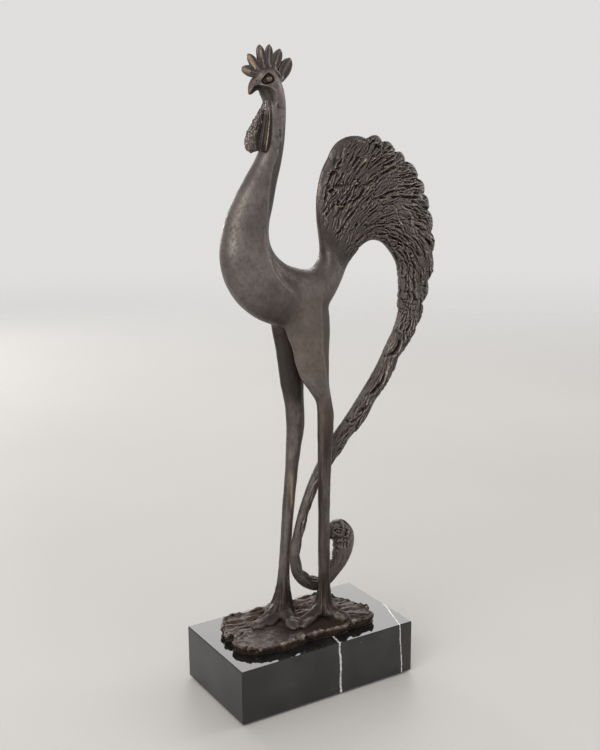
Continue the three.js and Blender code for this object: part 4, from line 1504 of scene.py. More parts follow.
@dataclass
class Body:
    """Torso, thighs and legs: one casting, cut at its seams into its pieces.

    Attributes:
        rows: Egg sections from the tail's root round the breast and up the neck to the crown.
        neck_ridge: x and z along the sharp ridge of the neck and the breast.
        thigh_ridge: x and z along the sharp ridge of the left thigh.
        voxel: The size of the faces.
    """

    rows: Rows = field(default_factory=lambda: [
        [57, 374, 33, 405, 14, 0.5, 1.1],
        [47, 358, 33, 397, 16.5, 0.5, 1.1],
        [35, 344, 31, 390, 20, 0.5, 1.15],
        [20, 328, 26, 385, 23, 0.5, 1.2],
        [-2, 324, 16, 383, 25, 0.55, 1.3],
        [-25, 330, 3, 385.5, 26, 0.58, 1.6],
        [-47, 341, -9, 390, 26, 0.62, 1.8],
        [-65, 358, -19, 397.5, 25, 0.66, 1.95],
        [-77, 380, -26, 406, 23.5, 0.69, 2],
        [-81, 406, -30, 417, 21.5, 0.71, 2],
        [-76, 434, -29.5, 432, 18.5, 0.69, 2],
        [-65, 457, -25, 450, 16, 0.66, 2],
        [-53, 476, -20, 470, 14, 0.62, 1.9],
        [-41, 494, -14.5, 490, 12.5, 0.58, 1.8],
        [-34, 511, -10.5, 510, 11.5, 0.54, 1.7],
        [-31.5, 528, -9, 528, 11, 0.52, 1.6],
        [-31, 543, -9, 544, 11, 0.5, 1.45],
        [-33, 551, -10, 552, 11.5, 0.5, 1.2],
        [-37, 557.5, -12, 560, 12, 0.53, 1.15],
        [-41, 564, -15, 567.5, 12, 0.55, 1.15],
        [-42, 570.5, -19, 573.5, 11, 0.55, 1.15],
        [-40, 576, -23, 578, 8.5, 0.55, 1.15],
        [-34, 579, -27.5, 579.5, 3.5, 0.5, 1.15],
    ])
    neck_ridge: Rows = field(default_factory=lambda: [
        [-17, 535], [-19.4, 512.5], [-24.6, 498.7], [-31, 485.8], [-37, 461.7], [-40, 432], [-40.3, 414.3],
        [-39, 394.8], [-34.5, 383.6], [-27.4, 374.1], [-13, 359.9], [-2, 350]])
    thigh_ridge: Rows = field(default_factory=lambda: [
        [21.5, 374], [20, 365.2], [17.5, 345.3], [17, 325], [18.2, 304.3], [22.4, 283.1], [27, 261.7],
        [29, 240.3], [29.5, 225]])
    voxel: float = 0.85

    def behind_ridges(self, points: Array) -> tuple[Array, Array]:
        """How far the skin sinks behind the sharp ridges of the neck and the left thigh, and the painted
        shade there.

        At d behind a ridge's line it sinks 0.5 d exp(-(d/7)^2), less a bead of 0.25 exp(-(d/2)^2) on it.

        Args:
            points: The points.

        Returns:
            The depth in millimetres and the painted shade from 0 to 1. Both fade out at the ridges' ends.
        """
        x, y, z = points.T
        _, neck = distance_to_line(x, z, self.neck_ridge)
        _, thigh = distance_to_line(x, z, self.thigh_ridge)
        on_neck = smooth_step(350, 378, z) * smooth_step(540, 515, z) * smooth_step(12, -14, x)
        on_thigh = smooth_step(228, 245, z) * smooth_step(372, 345, z) * smooth_step(-3, -8, y)
        pairs = [(on_neck, neck), (on_thigh, thigh)]
        depth = sum(on * (0.5 * away.clip(0) * bump(away, 7) - 0.25 * bump(away, 2)) for on, away in pairs)
        return depth, sum(on * smooth_step(0, 1.5, away) for on, away in pairs)

    def near_leg(self) -> Leg:
        """The left leg, nearer to the viewer."""
        return Leg(Side.LEFT, rows=[
            [370, 5, 12, 4, 0.6, 1.3],
            [358, 6.5, 21, 9, 0.66, 1.7],
            [342, 7.5, 25.5, 12, 0.68, 1.9],
            [324, 8.5, 25.5, 13, 0.68, 2],
            [306, 11.5, 21.5, 12, 0.68, 2],
            [289, 13.5, 19.5, 11, 0.68, 1.9],
            [272, 17, 16, 10.2, 0.66, 1.8],
            [258, 22.5, 11.5, 9.3, 0.62, 1.6],
            [247, 27, 9, 8.8, 0.56, 1.25],
            [236, 28.8, 8.6, 8.6, 0.52, 1.2],
            [221, 29.2, 8.8, 8.6, 0.5, 1.2],
            [205, 28.8, 8.4, 8, 0.5, 1.2],
            [186, 28.2, 7.7, 7.3, 0.5, 1.15],
            [158, 27.4, 6.9, 6.6, 0.5, 1.1],
            [125, 27, 6.4, 6.3, 0.5, 1.1],
            [90, 27, 6.4, 6.3, 0.5, 1.1],
            [55, 27, 6.4, 6.3, 0.5, 1.1],
            [38, 26.8, 6.8, 6.5, 0.5, 1.1],
            [28, 26.2, 8.4, 7.6, 0.5, 1.1],
            [18, 25.5, 11.2, 9.8, 0.5, 1],
            [10, 25, 14.5, 12.5, 0.5, 1],
        ], toes=[[-41, -16, 6.4], [13, -30, 6.4], [25, 5, 6]])

    def far_leg(self) -> Leg:
        """The right leg, farther from the viewer."""
        return Leg(Side.RIGHT, rows=[
            [370, -2, 11, 4, 0.6, 1.2],
            [358, -1, 18, 9, 0.6, 1.3],
            [342, 0, 22, 12, 0.6, 1.4],
            [322, 2, 20, 13, 0.6, 1.5],
            [297, 3.4, 16.4, 12, 0.6, 1.5],
            [277, 4, 14.4, 11, 0.6, 1.45],
            [262, 4.6, 13, 10.2, 0.58, 1.4],
            [250, 6, 11.6, 9.6, 0.55, 1.3],
            [238, 7.6, 10.6, 9.2, 0.52, 1.25],
            [225, 8.2, 10.2, 9, 0.5, 1.2],
            [212, 8, 9.8, 8.6, 0.5, 1.2],
            [195, 5.8, 8.4, 7.7, 0.5, 1.2],
            [178, 4, 7.5, 7, 0.5, 1.15],
            [155, 1.5, 6.9, 6.6, 0.5, 1.15],
            [125, -1.8, 6.5, 6.4, 0.5, 1.1],
            [90, -5, 6.2, 6.2, 0.5, 1.1],
            [55, -8, 6.3, 6.3, 0.5, 1.1],
            [40, -9, 6.9, 6.7, 0.5, 1.1],
            [29, -10, 8.8, 8, 0.5, 1.1],
            [18, -11, 11.8, 10.2, 0.5, 1],
            [10, -11.5, 15, 13, 0.5, 1],
        ], toes=[[-48, -21, 7], [-30, -22, 6], [-10, -45, 6], [-14, 16, 5.4]])

    def casting(self, tail: Tail) -> Surface:
        """The whole casting: body, legs and the tail's root fused, eased at their joins and slightly uneven.

        Args:
            tail: The tail whose root runs into the body.

        Returns:
            The casting with its marks.
        """
        trunk = Surface.from_rings(egg_rings(self.rows, 300, 120, fullness=FLANK_FULLNESS))
        root = Surface.from_rings(tail.rings(np.linspace(0.1, 4.5, 60), 96, tips=False))
        parts = [trunk, root] + self.near_leg().surfaces() + self.far_leg().surfaces()
        skin = fused(parts, self.voxel)
        skin.points = skin.relaxed(0.5, 6)
        x, z = skin.points[:, 0], skin.points[:, 2]
        thigh = smooth_step(316, 332, z) * smooth_step(384, 366, z) * smooth_step(-42, -24, x)
        rump = smooth_step(16, 28, x) * smooth_step(340, 352, z) * smooth_step(440, 415, z)
        ankle = smooth_step(4, 8, z) * smooth_step(34, 22, z) * 0.35
        skin.points = skin.relaxed(np.clip(np.maximum(thigh, rump) + ankle, 0, 1) * 0.55, 60)
        z = skin.points[:, 2]
        uneven = cast_unevenness(skin.points)
        leg_zone = smooth_step(318, 290, z)
        small = layered_noise(skin.points * [1, 1, 0.45], 5.5, 4, 2) * (0.05 + 0.17 * leg_zone)
        flank = np.abs(skin.normals()[:, 1])
        sunk, _ = self.behind_ridges(skin.points)
        feet = self.feet_relief(skin.points)
        skin.move_out(uneven + small - sunk * flank + feet - 0.6 * self.neck_pits(skin.points))
        skin.mark_proud(0.5)
        # Painted highlight: gold on the raised rims of the toes stands in for their bright glints.
        rims = 0.12 * smooth_step(0.7, 1.6, feet) * smooth_step(40, 24, skin.points[:, 2])
        skin.marks["wear_and_highlight"] = np.maximum(self.worn_and_highlighted(skin.points), rims)
        # The shade mark: painted shade and darker zones from shaded(), and the casting pits made dark.
        skin.marks["shade"] = np.maximum(self.shaded(skin.points), 0.8 * self.neck_pits(skin.points))
        return skin

    def neck_pits(self, points: Array) -> Array:
        """A cluster of casting pits down the neck behind the left wattle, and a few on the breast.

        Args:
            points: The points.

        Returns:
            1 in a pit, and 0 beside it.
        """
        x, y, z = points.T
        cluster = bump(x + 21.5, 3.5) * smooth_step(492, 502, z) * smooth_step(541, 533, z)
        breast = 0.8 * bump(x + 58, 22) * bump(z - 415, 40)
        holes = smooth_step(0.05, 0.4, layered_noise(points * [1, 1, 0.6], 3.4, 23, 2))
        rare = smooth_step(0.72, 0.9, layered_noise(points, 5.0, 24, 2))
        return (y < 0) * np.clip(cluster * holes + breast * rare, 0, 1)

    def feet_relief(self, points: Array) -> Array:
        """Relief of the feet: folds that run down the shanks' ends, and rims round a hollow along each toe.

        The folds are 1 - |noise| round each leg. Across a toe, at d from its middle line, the height is
        1.4 exp(-((d - 4.2)/1.1)^2) - 1.6 exp(-(d/1.8)^2).

        Args:
            points: The points.

        Returns:
            The height in millimetres.
        """
        x, y, z = points.T
        height = np.zeros(len(points))
        for leg, seed in ((self.near_leg(), 61), (self.far_leg(), 66)):
            side = leg.side.value
            ankle_x, ankle_y = leg.ankle()
            turn = np.arctan2(y - ankle_y, x - ankle_x)
            out = np.hypot(x - ankle_x, y - ankle_y)
            around = np.stack([2.6 * np.cos(turn), 2.6 * np.sin(turn), (out * 0.5 - 0.4 * z) / 14], axis=-1)
            folds = (1 - 2.8 * np.abs(lattice_noise(around, seed))).clip(-1, 1)
            fine = (1 - 2.8 * np.abs(lattice_noise(around * [2.2, 2.2, 1.8], seed + 1))).clip(-1, 1)
            own = (y * side > 0) * smooth_step(66, 26, z)
            height += own * (1.15 * folds + 0.5 * fine)
            for tip_x, tip_y, _ in leg.toes:
                away, _ = distance_to_line(x, y, [
                    [ankle_x + share * tip_x, ankle_y + share * tip_y] for share in (0.38, 0.92)])
                height += own * smooth_step(18, 12, z) * (1.4 * bump(away - 4.2, 1.1) - 1.6 * bump(away, 1.8))
        return height

    def worn_and_highlighted(self, points: Array) -> Array:
        """Where hands have worn the metal, a streak down the right leg and the left hock, and a painted
        highlight on the left thigh.

        Args:
            points: The points.

        Returns:
            How bare it is, from 0 to 1.
        """
        x, y, z = points.T
        right = (y > 2) & (z < 312)
        middle = np.interp(z, [43, 75, 137, 204], [-8, -3.8, -1.2, 0.6])
        streak = bump(x - middle, 1.5) * smooth_step(15, 11, y)
        streak = streak * smooth_step(40, 60, z) * smooth_step(215, 190, z)
        streak = streak * right * smooth_step(-0.3, 0.5, layered_noise(points * [1, 1, 0.3], 4, 12))
        hock = bump(x - 24, 5) * bump(y + 20, 6) * bump(z - 232, 26) * (y < 0) * 0.12
        # Painted highlight: a faint gold that lightens the left thigh, where the light falls on it.
        thigh = 0.08 * (y < -4) * smooth_step(372, 345, z) * smooth_step(262, 290, z)
        thigh = thigh * smooth_step(-22, -4, x)
        return np.clip(0.75 * streak + hock + thigh, 0, 1)

    def shaded(self, points: Array) -> Array:
        """Where the skin is painted darker: painted shade on the right thigh, in the fork, under the belly,
        at the tail's root and behind the ridges, and darker shanks and feet.

        Args:
            points: The points.

        Returns:
            How dark it is, from 0 to 1.
        """
        x, y, z = points.T
        # Painted shade where less light falls: the right thigh, the fork, under the belly, the tail's root
        # and behind the ridges.
        right = smooth_step(-4, 3, y) * smooth_step(330, 312, z)
        shank = smooth_step(262, 232, z) * smooth_step(10, 30, z)
        belly = smooth_step(386, 335, z) * smooth_step(310, 325, z) * smooth_step(4, -25, x)
        streaks = 0.5 + 0.5 * layered_noise(points * [1, 1, 0.12], 4, 14)
        behind = self.behind_ridges(points)[1] * 0.6 + 0.7 * smooth_step(64, 24, z)
        left = (y < 0) * 0.6
        fork = bump(y + 2, 5) * smooth_step(330, 318, z) * smooth_step(225, 250, z) * 0.8
        root = 0.5 * smooth_step(22, 34, x) * smooth_step(376, 392, z)
        dark = 0.9 * right * smooth_step(230, 262, z) + (0.6 + left) * shank * streaks + 0.6 * belly + root
        return np.clip(dark + behind + fork, 0, 1)

    def build(self, tail: Tail) -> bpy.types.Mesh:
        """Cuts the casting into the torso and the legs.

        Args:
            tail: The tail whose root runs into the torso.

        Returns:
            The whole casting's mesh, for the tail to follow.
        """
        whole = self.casting(tail).to_mesh("casting")
        bronze = SMOOTH_BRONZE.material()
        for name, node, slot, cuts in (
            ("torso_casting", "torso", "bronze_smooth", [NECK_CUT, TAIL_CUT, HIP_CUT]),
            ("left_leg_casting", "left_leg", "bronze_leg", [HIP_CUT.turned(), MIDDLE_CUT]),
            ("right_leg_casting", "right_leg", "bronze_leg", [HIP_CUT.turned(), MIDDLE_CUT.turned()]),
        ):
            show_piece(cut_mesh(whole, name, cuts), name, [node], bronze)
        return whole


@dataclass
class Head:
    """The head with its beak, the comb, the wattles and the eyes.

    Attributes:
        body_rows: The body's egg sections, whose last ones are the head's.
        first_row: The first of those.
        beak: The beak's limb: x, y, z, half width and half height.
        mouth: x and z along the mouth's line.
        eye: x and z of the eyes.
        eye_aside: How far from the middle plane the eyes lie.
        eye_radius: The beads' radius.
        leaves: The comb's leaves: root x and z, tip x and z, and half width.
        leaf_shape: Shares of a leaf's half width from root to tip.
        leaf_thickness: A leaf's thickness to each side.
        comb_root: The limb that the leaves stand on: x, y, z, half width and half height.
        worn_lines: Rubbed lines on the front leaves: x and z, how wide, and how bare.
        smooth_wattle: The left wattle's limb: x, y, z, half thickness and half width.
        rough_wattle: The right wattle's limb.
        wattle_rib: Where the smooth wattle's rib lies, in shares of its half width.
        voxel: The size of the head's faces.
        comb_voxel: The size of the comb's faces.
    """

    body_rows: Rows
    first_row: int = 13
    beak: Rows = field(default_factory=lambda: [
        [-32, 0, 568, 9, 8],
        [-39, 0, 565.5, 6.5, 7],
        [-44, 0, 561, 4.5, 5],
        [-47, 0, 556.5, 2.6, 3],
        [-48, 0, 554.3, 1, 1.2],
    ])
    mouth: Rows = field(default_factory=lambda: [
        [-48.4, 557.6], [-45, 562.6], [-40.5, 564.2], [-36, 563], [-30.5, 561.4], [-26, 557.5], [-23, 551],
    ])
    eye: tuple[float, float] = (-32.4, 568.4)
    eye_aside: float = 10.4
    eye_radius: float = 3.3
    leaves: Rows = field(default_factory=lambda: [
        [-37, 573, -56, 578.5, 5.2],
        [-36, 575, -49, 591.5, 4.6],
        [-32, 577, -36.5, 600, 5],
        [-27, 578, -25.5, 600.5, 4.6],
        [-22, 576, -13.5, 596.5, 5.4],
        [-15, 567.5, -2.2, 588.3, 6.8],
    ])
    leaf_shape: list[float] = field(default_factory=lambda: [0.62, 0.8, 0.98, 1, 0.8, 0.36])
    leaf_thickness: float = 4.0
    comb_root: Rows = field(default_factory=lambda: [
        [-38, 0, 572, 3.6, 2.5],
        [-33, 0, 576, 4, 3.4],
        [-27, 0, 577.5, 4.2, 3.6],
        [-21, 0, 576, 4.2, 3.4],
        [-15, 0, 571.5, 3.4, 2.4],
    ])
    worn_lines: list[tuple[Rows, float, float]] = field(default_factory=lambda: [
        ([[-53, 577], [-49, 575.5]], 2.0, 0.8),
        ([[-48, 588.5], [-45.5, 584], [-42, 579]], 1.6, 0.85),
        ([[-36.5, 596], [-36, 590]], 1.5, 0.4),
    ])
    smooth_wattle: Rows = field(default_factory=lambda: [
        [-30.5, -5, 549, 2.4, 2.4],
        [-31.5, -7, 541, 3, 3],
        [-33, -8.4, 530, 3.9, 4.2],
        [-35.4, -9, 516, 4.6, 5.4],
        [-36.8, -8.6, 507, 4.6, 5.4],
        [-37.2, -8.2, 502.4, 3.2, 3.8],
        [-37.2, -8, 500.8, 0.8, 1],
    ])
    rough_wattle: Rows = field(default_factory=lambda: [
        [-28.5, 2, 549, 2.6, 2.6],
        [-30.5, 3.4, 540, 3.2, 4],
        [-35.0, 4.8, 527, 4.2, 7.2],
        [-39.6, 5.5, 514, 5, 9.8],
        [-41, 5.5, 507, 4.8, 9.8],
        [-40.8, 5.2, 502, 3, 6.6],
        [-40.6, 5, 500.6, 0.8, 1.6],
    ])
    wattle_rib: float = 0.15
    voxel: float = 0.45
    comb_voxel: float = 0.38

    def socket_ring(self, x: Array, z: Array) -> tuple[Array, Array]:
        """Where points lie round the eye's socket, seen from the side.

        With f forward and u up from the eye the ring is (|f/7|^p + |u/h|^p)^(1/p), with p and h of their own
        above and below it.

        Args:
            x: The points' x.
            z: The points' z.

        Returns:
            The ring, which is 1 on the socket's rim and less inside it, and u in millimetres.
        """
        forward = x - self.eye[0]
        up = z - self.eye[1] - 0.18 * forward
        tall = np.where(up > 0, 6.2, 4.8)
        power = np.where(up > 0, 1.25, 2.2)
        return (np.abs(forward / 7) ** power + np.abs(up / tall) ** power) ** (1 / power), up

    def build_head(self) -> None:
        """Builds the head: skull and beak fused, then eye sockets, brows and the mouth's line modelled."""
        rows = self.body_rows[self.first_row:]
        skull = Surface.from_rings(egg_rings(rows, 200, 110, fullness=FLANK_FULLNESS))
        beak = Surface.from_rings(limb_rings(self.beak, 60, 40, SIDEWAYS))
        skin = fused([skull, beak], self.voxel)
        skin.points = skin.relaxed(0.5, 8)
        face = smooth_step(-24, -30, skin.points[:, 0]) * smooth_step(553, 558, skin.points[:, 2])
        skin.points = skin.relaxed(0.5 * face, 30)
        x, y, z = skin.points.T
        ring, up = self.socket_ring(x, z)
        beside = smooth_step(3, 6, np.abs(y))
        socket = -2.6 * smooth_step(1.0, 0.78, ring)
        brow = 1.0 * bump(ring - 1.13, 0.09) * smooth_step(-1.5, 0.5, up)
        away, signed = distance_to_line(x, z, self.mouth)
        lip = 1.15 * bump(away, 0.9) - 1.9 * bump(signed + 4.0, 2.8) * smooth_step(0, -1.2, signed)
        lip = lip * smooth_step(-22.5, -27, x) * smooth_step(1.2, 3.0, np.abs(y))
        nostril = -0.7 * bump(np.hypot(x + 42.2, z - 567.4), 0.9)
        pits = -0.7 * smooth_step(0.15, 0.6, layered_noise(skin.points * [1, 1, 0.5], 3.2, 21))
        pits = pits * bump(x + 22, 5) * smooth_step(556, 547, z)
        uneven = 0.12 * layered_noise(skin.points, 6, 22, 2)
        fade = smooth_step(541.5, 546, z)
        skin.move_out(fade * (beside * (socket + brow + nostril) + lip + uneven + pits)
                      + cast_unevenness(skin.points) * (1 - fade))
        skin.mark_proud(0.3)
        # Gold worn at the beak's tip, and a painted highlight along the upper arc of the brow.
        tip = bump(np.hypot(x + 48.5, z - 557.5), 2.6)
        arc = bump(ring - 1.13, 0.06) * smooth_step(0, 1.0, up) * beside
        skin.marks["wear_and_highlight"] = np.clip(0.4 * tip + 0.55 * arc, 0, 1)
        # Painted shade in the throat's hollow, in the eye sockets and under the mouth's line; the pits and
        # the beak are made darker too.
        throat = 0.8 * bump(np.hypot(x + 36, (z - 555) * 0.8), 5.5) + smooth_step(1.05, 0.85, ring) * beside
        cheek = 0.7 * bump(signed + 3.5, 2.8) * smooth_step(0, -1, signed) * smooth_step(-23, -29, x)
        bill = 0.5 * smooth_step(-38.5, -42, x) * smooth_step(1.5, 3, np.hypot(x + 48.5, z - 557.5))
        spots = 0.8 * smooth_step(0, -0.3, pits) + 0.3 * bump(x + 31, 3) * smooth_step(556, 546, z)
        skin.marks["shade"] = np.clip(throat + cheek + spots + bill, 0, 1)
        mesh = cut_mesh(skin.to_mesh("head_casting"), "head_casting", [NECK_CUT.turned()])
        show_piece(mesh, "head_casting", ["head"], SMOOTH_BRONZE.material())

    def leaf(self, root_x: float, root_z: float, tip_x: float, tip_z: float, half: float) -> Surface:
        """One leaf of the comb: a scooped blade with a raised rim and a rib.

        Across the blade, at t from -1 to 1, the side stands off by
        thickness (1 - t^8) (0.4 + 0.6 t^2 + 0.38 exp(-(t/0.16)^2)), less towards the tip.

        Args:
            root_x: x of its root.
            root_z: z of its root.
            tip_x: x of its tip.
            tip_z: z of its tip.
            half: Its half width.

        Returns:
            The leaf's surface.
        """
        s = np.linspace(0, 1, 90)[:, None]
        width = half * smooth_rows([[v] for v in self.leaf_shape], s.ravel() * (len(self.leaf_shape) - 1))
        width = width * np.sqrt(np.clip((1.02 - s) / 0.12, 0, 1)) ** 0.9
        t, side = (values[None] for values in round_ring(96))
        reach = math.hypot(tip_x - root_x, tip_z - root_z)
        along = np.array([tip_x - root_x, tip_z - root_z]) / reach
        across = np.array([-along[1], along[0]])
        profile = (1 - t**8) * (0.4 + 0.6 * t**2 + 0.38 * np.exp(-((t / 0.16) ** 2)))
        thick = self.leaf_thickness * (1 - 0.45 * s) * np.clip((1.03 - s) / 0.15, 0, 1) ** 0.5
        blend = smooth_step(0.0, 0.3, s)
        profile = blend * profile + (1 - blend) * np.sqrt(np.clip(1 - t * t, 0, 1))
        y = np.sign(np.round(side, 9)) * thick * np.where(np.abs(side) < 1e-9, 0, profile)
        flat = np.array([root_x, root_z]) + s[..., None] * reach * along + (t * width)[..., None] * across
        return Surface.from_rings(np.stack([flat[..., 0], y, flat[..., 1]], axis=-1))

    def build_comb(self) -> None:
        """Builds the comb: its leaves and their common root fused, with gold worn onto the front leaves and
        painted shade between the leaves.
        """
        ridge = Surface.from_rings(limb_rings(self.comb_root, 60, 40, SIDEWAYS))
        skin = fused([ridge] + [self.leaf(*leaf) for leaf in self.leaves], self.comb_voxel)
        skin.points = skin.relaxed(0.5, 4)
        skin.move_out(0.1 * layered_noise(skin.points, 3, 41, 2))
        skin.mark_proud(0.22)
        x, z = skin.points[:, 0], skin.points[:, 2]
        worn = sum(share * bump(distance_to_line(x, z, line)[0], wide)
                   for line, wide, share in self.worn_lines)
        glint = smooth_step(-0.6, 0.2, layered_noise(skin.points, 3, 43))
        skin.marks["wear_and_highlight"] = np.clip(worn * glint, 0, 1)
        # Painted shade in the hollow down each leaf and in the notches between the leaves.
        nearest = np.minimum.reduce([
            distance_to_line(x, z, [leaf[:2], leaf[2:4]])[0] / leaf[4] for leaf in self.leaves])
        dark = 0.6 * bump(nearest - 0.48, 0.2) + 0.9 * bump(nearest - 0.98, 0.14)
        skin.marks["shade"] = np.clip(dark, 0, 1)
        show_piece(skin, "comb_leaves", ["comb"], GOLDEN_BRONZE.material())

    def build_wattles(self) -> None:
        """Builds the wattles: the smooth left drop with a scooped face, and the rough right wedge."""
        steps, around = 150, 96
        rings = limb_rings(self.smooth_wattle, steps, around, SIDEWAYS)
        along = np.linspace(0, 1, steps + 1)[:, None]
        place, face = (values[None] for values in round_ring(around))
        on_face = smooth_step(0.1, 0.3, along) * smooth_step(0.98, 0.85, along) * np.clip(-face, 0, 1) ** 1.5
        rib, rim = bump(place + self.wattle_rib, 0.2), bump(place.clip(0, 1) - 0.8, 0.2)
        rings[..., 1] += on_face * (1.9 - 2.6 * rib - 0.4 * rim)
        worn = smooth_step(-0.7, 0.3, layered_noise(rings, 5, 44, 2))
        worn = worn * bump(along - 0.62, 0.17) * (face < 0)
        # Painted shade over the drop's scooped face, which lies in shadow; gold worn along its rib.
        drop = Surface.from_rings(rings, {
            "wear_and_highlight": 0.7 * bump(place + self.wattle_rib, 0.1) * worn,
            "shade": 0.92 * (face < 0) * smooth_step(0.15, 0.3, along)})
        drop.mark_proud(0.4)
        show_piece(drop, "smooth_wattle", ["left_wattle"], GOLDEN_BRONZE.material())
        wedge = Surface.from_rings(limb_rings(self.rough_wattle, 190, 130, SIDEWAYS))
        lumps = layered_noise(wedge.points, 3.4, 51, 3)
        wedge.move_out(0.95 * np.abs(lumps) * smooth_step(549, 538, wedge.points[:, 2]) - 0.2)
        wedge.marks["wear_and_highlight"] = 0.14 * smooth_step(0.35, 0.8, np.abs(lumps))
        wedge.mark_proud(0.25, 6)
        show_piece(wedge, "rough_wattle", ["right_wattle"], CARVED_BRONZE.material())

    def build_eyes(self) -> None:
        """Builds the eyes: beads with a ring groove round a raised pupil.

        At the angle a from the bead's outward pole the radius is
        r (1 - 0.07 exp(-((a - 0.62)/0.09)^2) + 0.03 exp(-(a/0.4)^2)).
        """
        material = DARK_BRONZE.material()
        polar = np.linspace(0.02, np.pi - 0.02, 80)[:, None]
        c, s = (values[None] for values in round_ring(72))
        radius = self.eye_radius * (1 - 0.07 * bump(polar - 0.62, 0.09) + 0.03 * bump(polar, 0.4))
        x = self.eye[0] + radius * np.sin(polar) * c * 1.1
        z = self.eye[1] + radius * np.sin(polar) * s
        # Painted highlight: gold on the bead's pupil and round its ring stands in for the bead's bright
        # glint.
        glint = bump(polar - 0.62, 0.25) * 0.2 + 0.6 * bump(polar, 0.32)
        for side, name, node in (
            (Side.LEFT, "left_eye_bead", "left_eye"), (Side.RIGHT, "right_eye_bead", "right_eye"),
        ):
            y = side.value * (self.eye_aside - 0.3) + side.value * radius * np.cos(polar) * 0.95
            rings = np.stack(np.broadcast_arrays(x, y, z), axis=-1)
            bead = Surface.from_rings(rings, {"wear_and_highlight": np.broadcast_to(glint, x.shape)})
            bead.mark_proud(0.2, 6)
            show_piece(bead, name, [node], material)


@dataclass
class GroundPlate:
    """The thin lobed slab of bronze earth under the feet.

    Attributes:
        outline: Points of the outline from the plate's middle.
        middle: The plate's middle in the bird's own frame.
        thickness: Its thickness.
        rim: Shares of the outline's reach and of the thickness, from the underside over the edge to the top.
        lip: The height of the raised lip round the top.
        seat: How far the underside stands off the plinth.
    """

    outline: Rows = field(default_factory=lambda: [
        [-70, 36], [-79, 18], [-78, -4], [-83, -14], [-78, -30], [-57, -40], [-34, -45], [-12, -41],
        [12, -42], [34, -45], [48, -41], [72, -41], [78, -36], [83, -16], [78, 2], [68, 27], [52, 41],
        [21, 42], [-16, 42], [-40, 43], [-60, 44],
    ])
    middle: tuple[float, float] = (-7, -8)
    thickness: float = 8.0
    rim: Rows = field(default_factory=lambda: [
        [0.3, 0], [0.93, 0], [0.96, 0.06], [0.98, 0.35], [0.997, 0.72], [0.993, 0.94], [0.97, 1.0]])
    lip: float = 1.2
    seat: float = 0.3

    def height(self, x: Array, y: Array) -> Array:
        """Relief of the plate's top: folds that run along the plate at the back and ends, none in front.

        The folds are 1 - |noise| ridges of noise drawn out along x and bent by broader noise.

        Args:
            x: The points' x from the plate's middle.
            y: The points' y.

        Returns:
            The height in millimetres.
        """
        places = np.stack([x, y], axis=-1)
        away = smooth_step(-16, 10, y) + smooth_step(34, 50, x)
        away = np.clip(away + 0.15 * smooth_step(-44, -66, x), 0, 1)
        bend = 7 * lattice_noise(places / 26, 71)
        drawn = np.stack([x / 19, (y + bend) / 6.0], axis=-1)
        folds = 1 - 2.2 * np.abs(lattice_noise(drawn, 72))
        fine = 1 - 2.0 * np.abs(lattice_noise(drawn * [1.7, 2.1], 73))
        broad = lattice_noise(places / 24, 74)
        return away * (1.5 * folds + 0.7 * fine + 1.1 * broad) + 0.16 * layered_noise(places, 9, 75)

    def build(self) -> None:
        """Builds the plate: rings of the outline's shape from the underside to the top's middle."""
        closed = self.outline + [self.outline[0]]
        table = smooth_rows(closed, np.linspace(0, len(closed) - 1, 421)[:-1])
        wobble = 1 + 0.028 * layered_noise(table[None], 8, 76)[0]
        rim = smooth_rows(self.rim, np.linspace(0, len(self.rim) - 1, 46))
        top = np.linspace(0.965, 0.02, 150)
        spread = np.concatenate([rim[:, 0], top])[:, None]
        level = np.concatenate([rim[:, 1], np.ones(len(top))])[:, None]
        on_top = smooth_step(0.85, 1.0, level)
        x, y = table[None, :, 0] * spread * wobble, table[None, :, 1] * spread * wobble
        crumb = layered_noise(np.stack([x, y], axis=-1), 5, 78, 2)
        lip = self.lip * bump(spread - 0.968, 0.014) * (0.8 + 1.7 * crumb)
        flat = 0.86 + 0.14 * bump(spread - 0.97, 0.03)
        inward = smooth_step(0.975, 0.9, spread)
        z = self.seat + self.thickness * level * np.where(level > 0.99, flat, 1.0) + on_top * lip
        z = z + on_top * inward * self.height(x, y)
        rings = np.stack([x + self.middle[0], y + self.middle[1], z], axis=-1)
        front = smooth_step(-6, -22, y) * smooth_step(70, 50, np.abs(x))
        gold = bump(spread - 0.972, 0.014) * front * smooth_step(-0.3, 0.4, crumb) * on_top
        # Painted shade: the rim's side is darker, and the smooth front of the top is darkened against its
        # reflection.
        painted_front_shade = 0.55 * smooth_step(0, -18, y) * inward
        dark = np.maximum(0.7 * smooth_step(0.98, 0.8, level), painted_front_shade)
        plate = Surface.from_rings(rings, {"wear_and_highlight": 0.65 * gold, "shade": dark})
        uneven = layered_noise(plate.points, 6, 79, 2) * smooth_step(0.5, 3, plate.points[:, 2] - self.seat)
        sideways = smooth_step(0.9, 0.5, np.abs(plate.normals()[:, 2]))
        plate.move_out((0.45 + 1.1 * sideways) * uneven)
        plate.mark_proud(0.5, 6)
        show_piece(plate, "earth_plate", ["ground_plate"], EARTH_BRONZE.material())


def dress_fittings() -> None:
    """Gives the CAD nodes that show as they are their finishes: plinth, felt, steel fittings and dowels."""
    steel = MetalFinish("turned_steel", (0.56, 0.57, 0.58), (0.4, 0.4, 0.4), 0.32).material()
    pin = MetalFinish("dowel_bronze", (0.55, 0.4, 0.22), (0.32, 0.22, 0.13), 0.4).material()
    kinds = {"stud": steel, "washer": steel, "nut": steel, "dowel": pin}
    finishes = {"marble_plinth": MarbleFinish().material(), "felt_pad": FeltFinish().material()}
    finishes.update({
        name: kinds[name.split("_")[-1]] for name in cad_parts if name.split("_")[-1] in kinds})
    for name, material in finishes.items():
        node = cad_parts[name]
        node.data.materials.clear()
        node.data.materials.append(material)
        log.info("%s: %s", name, material.name)


# Floor, light and camera


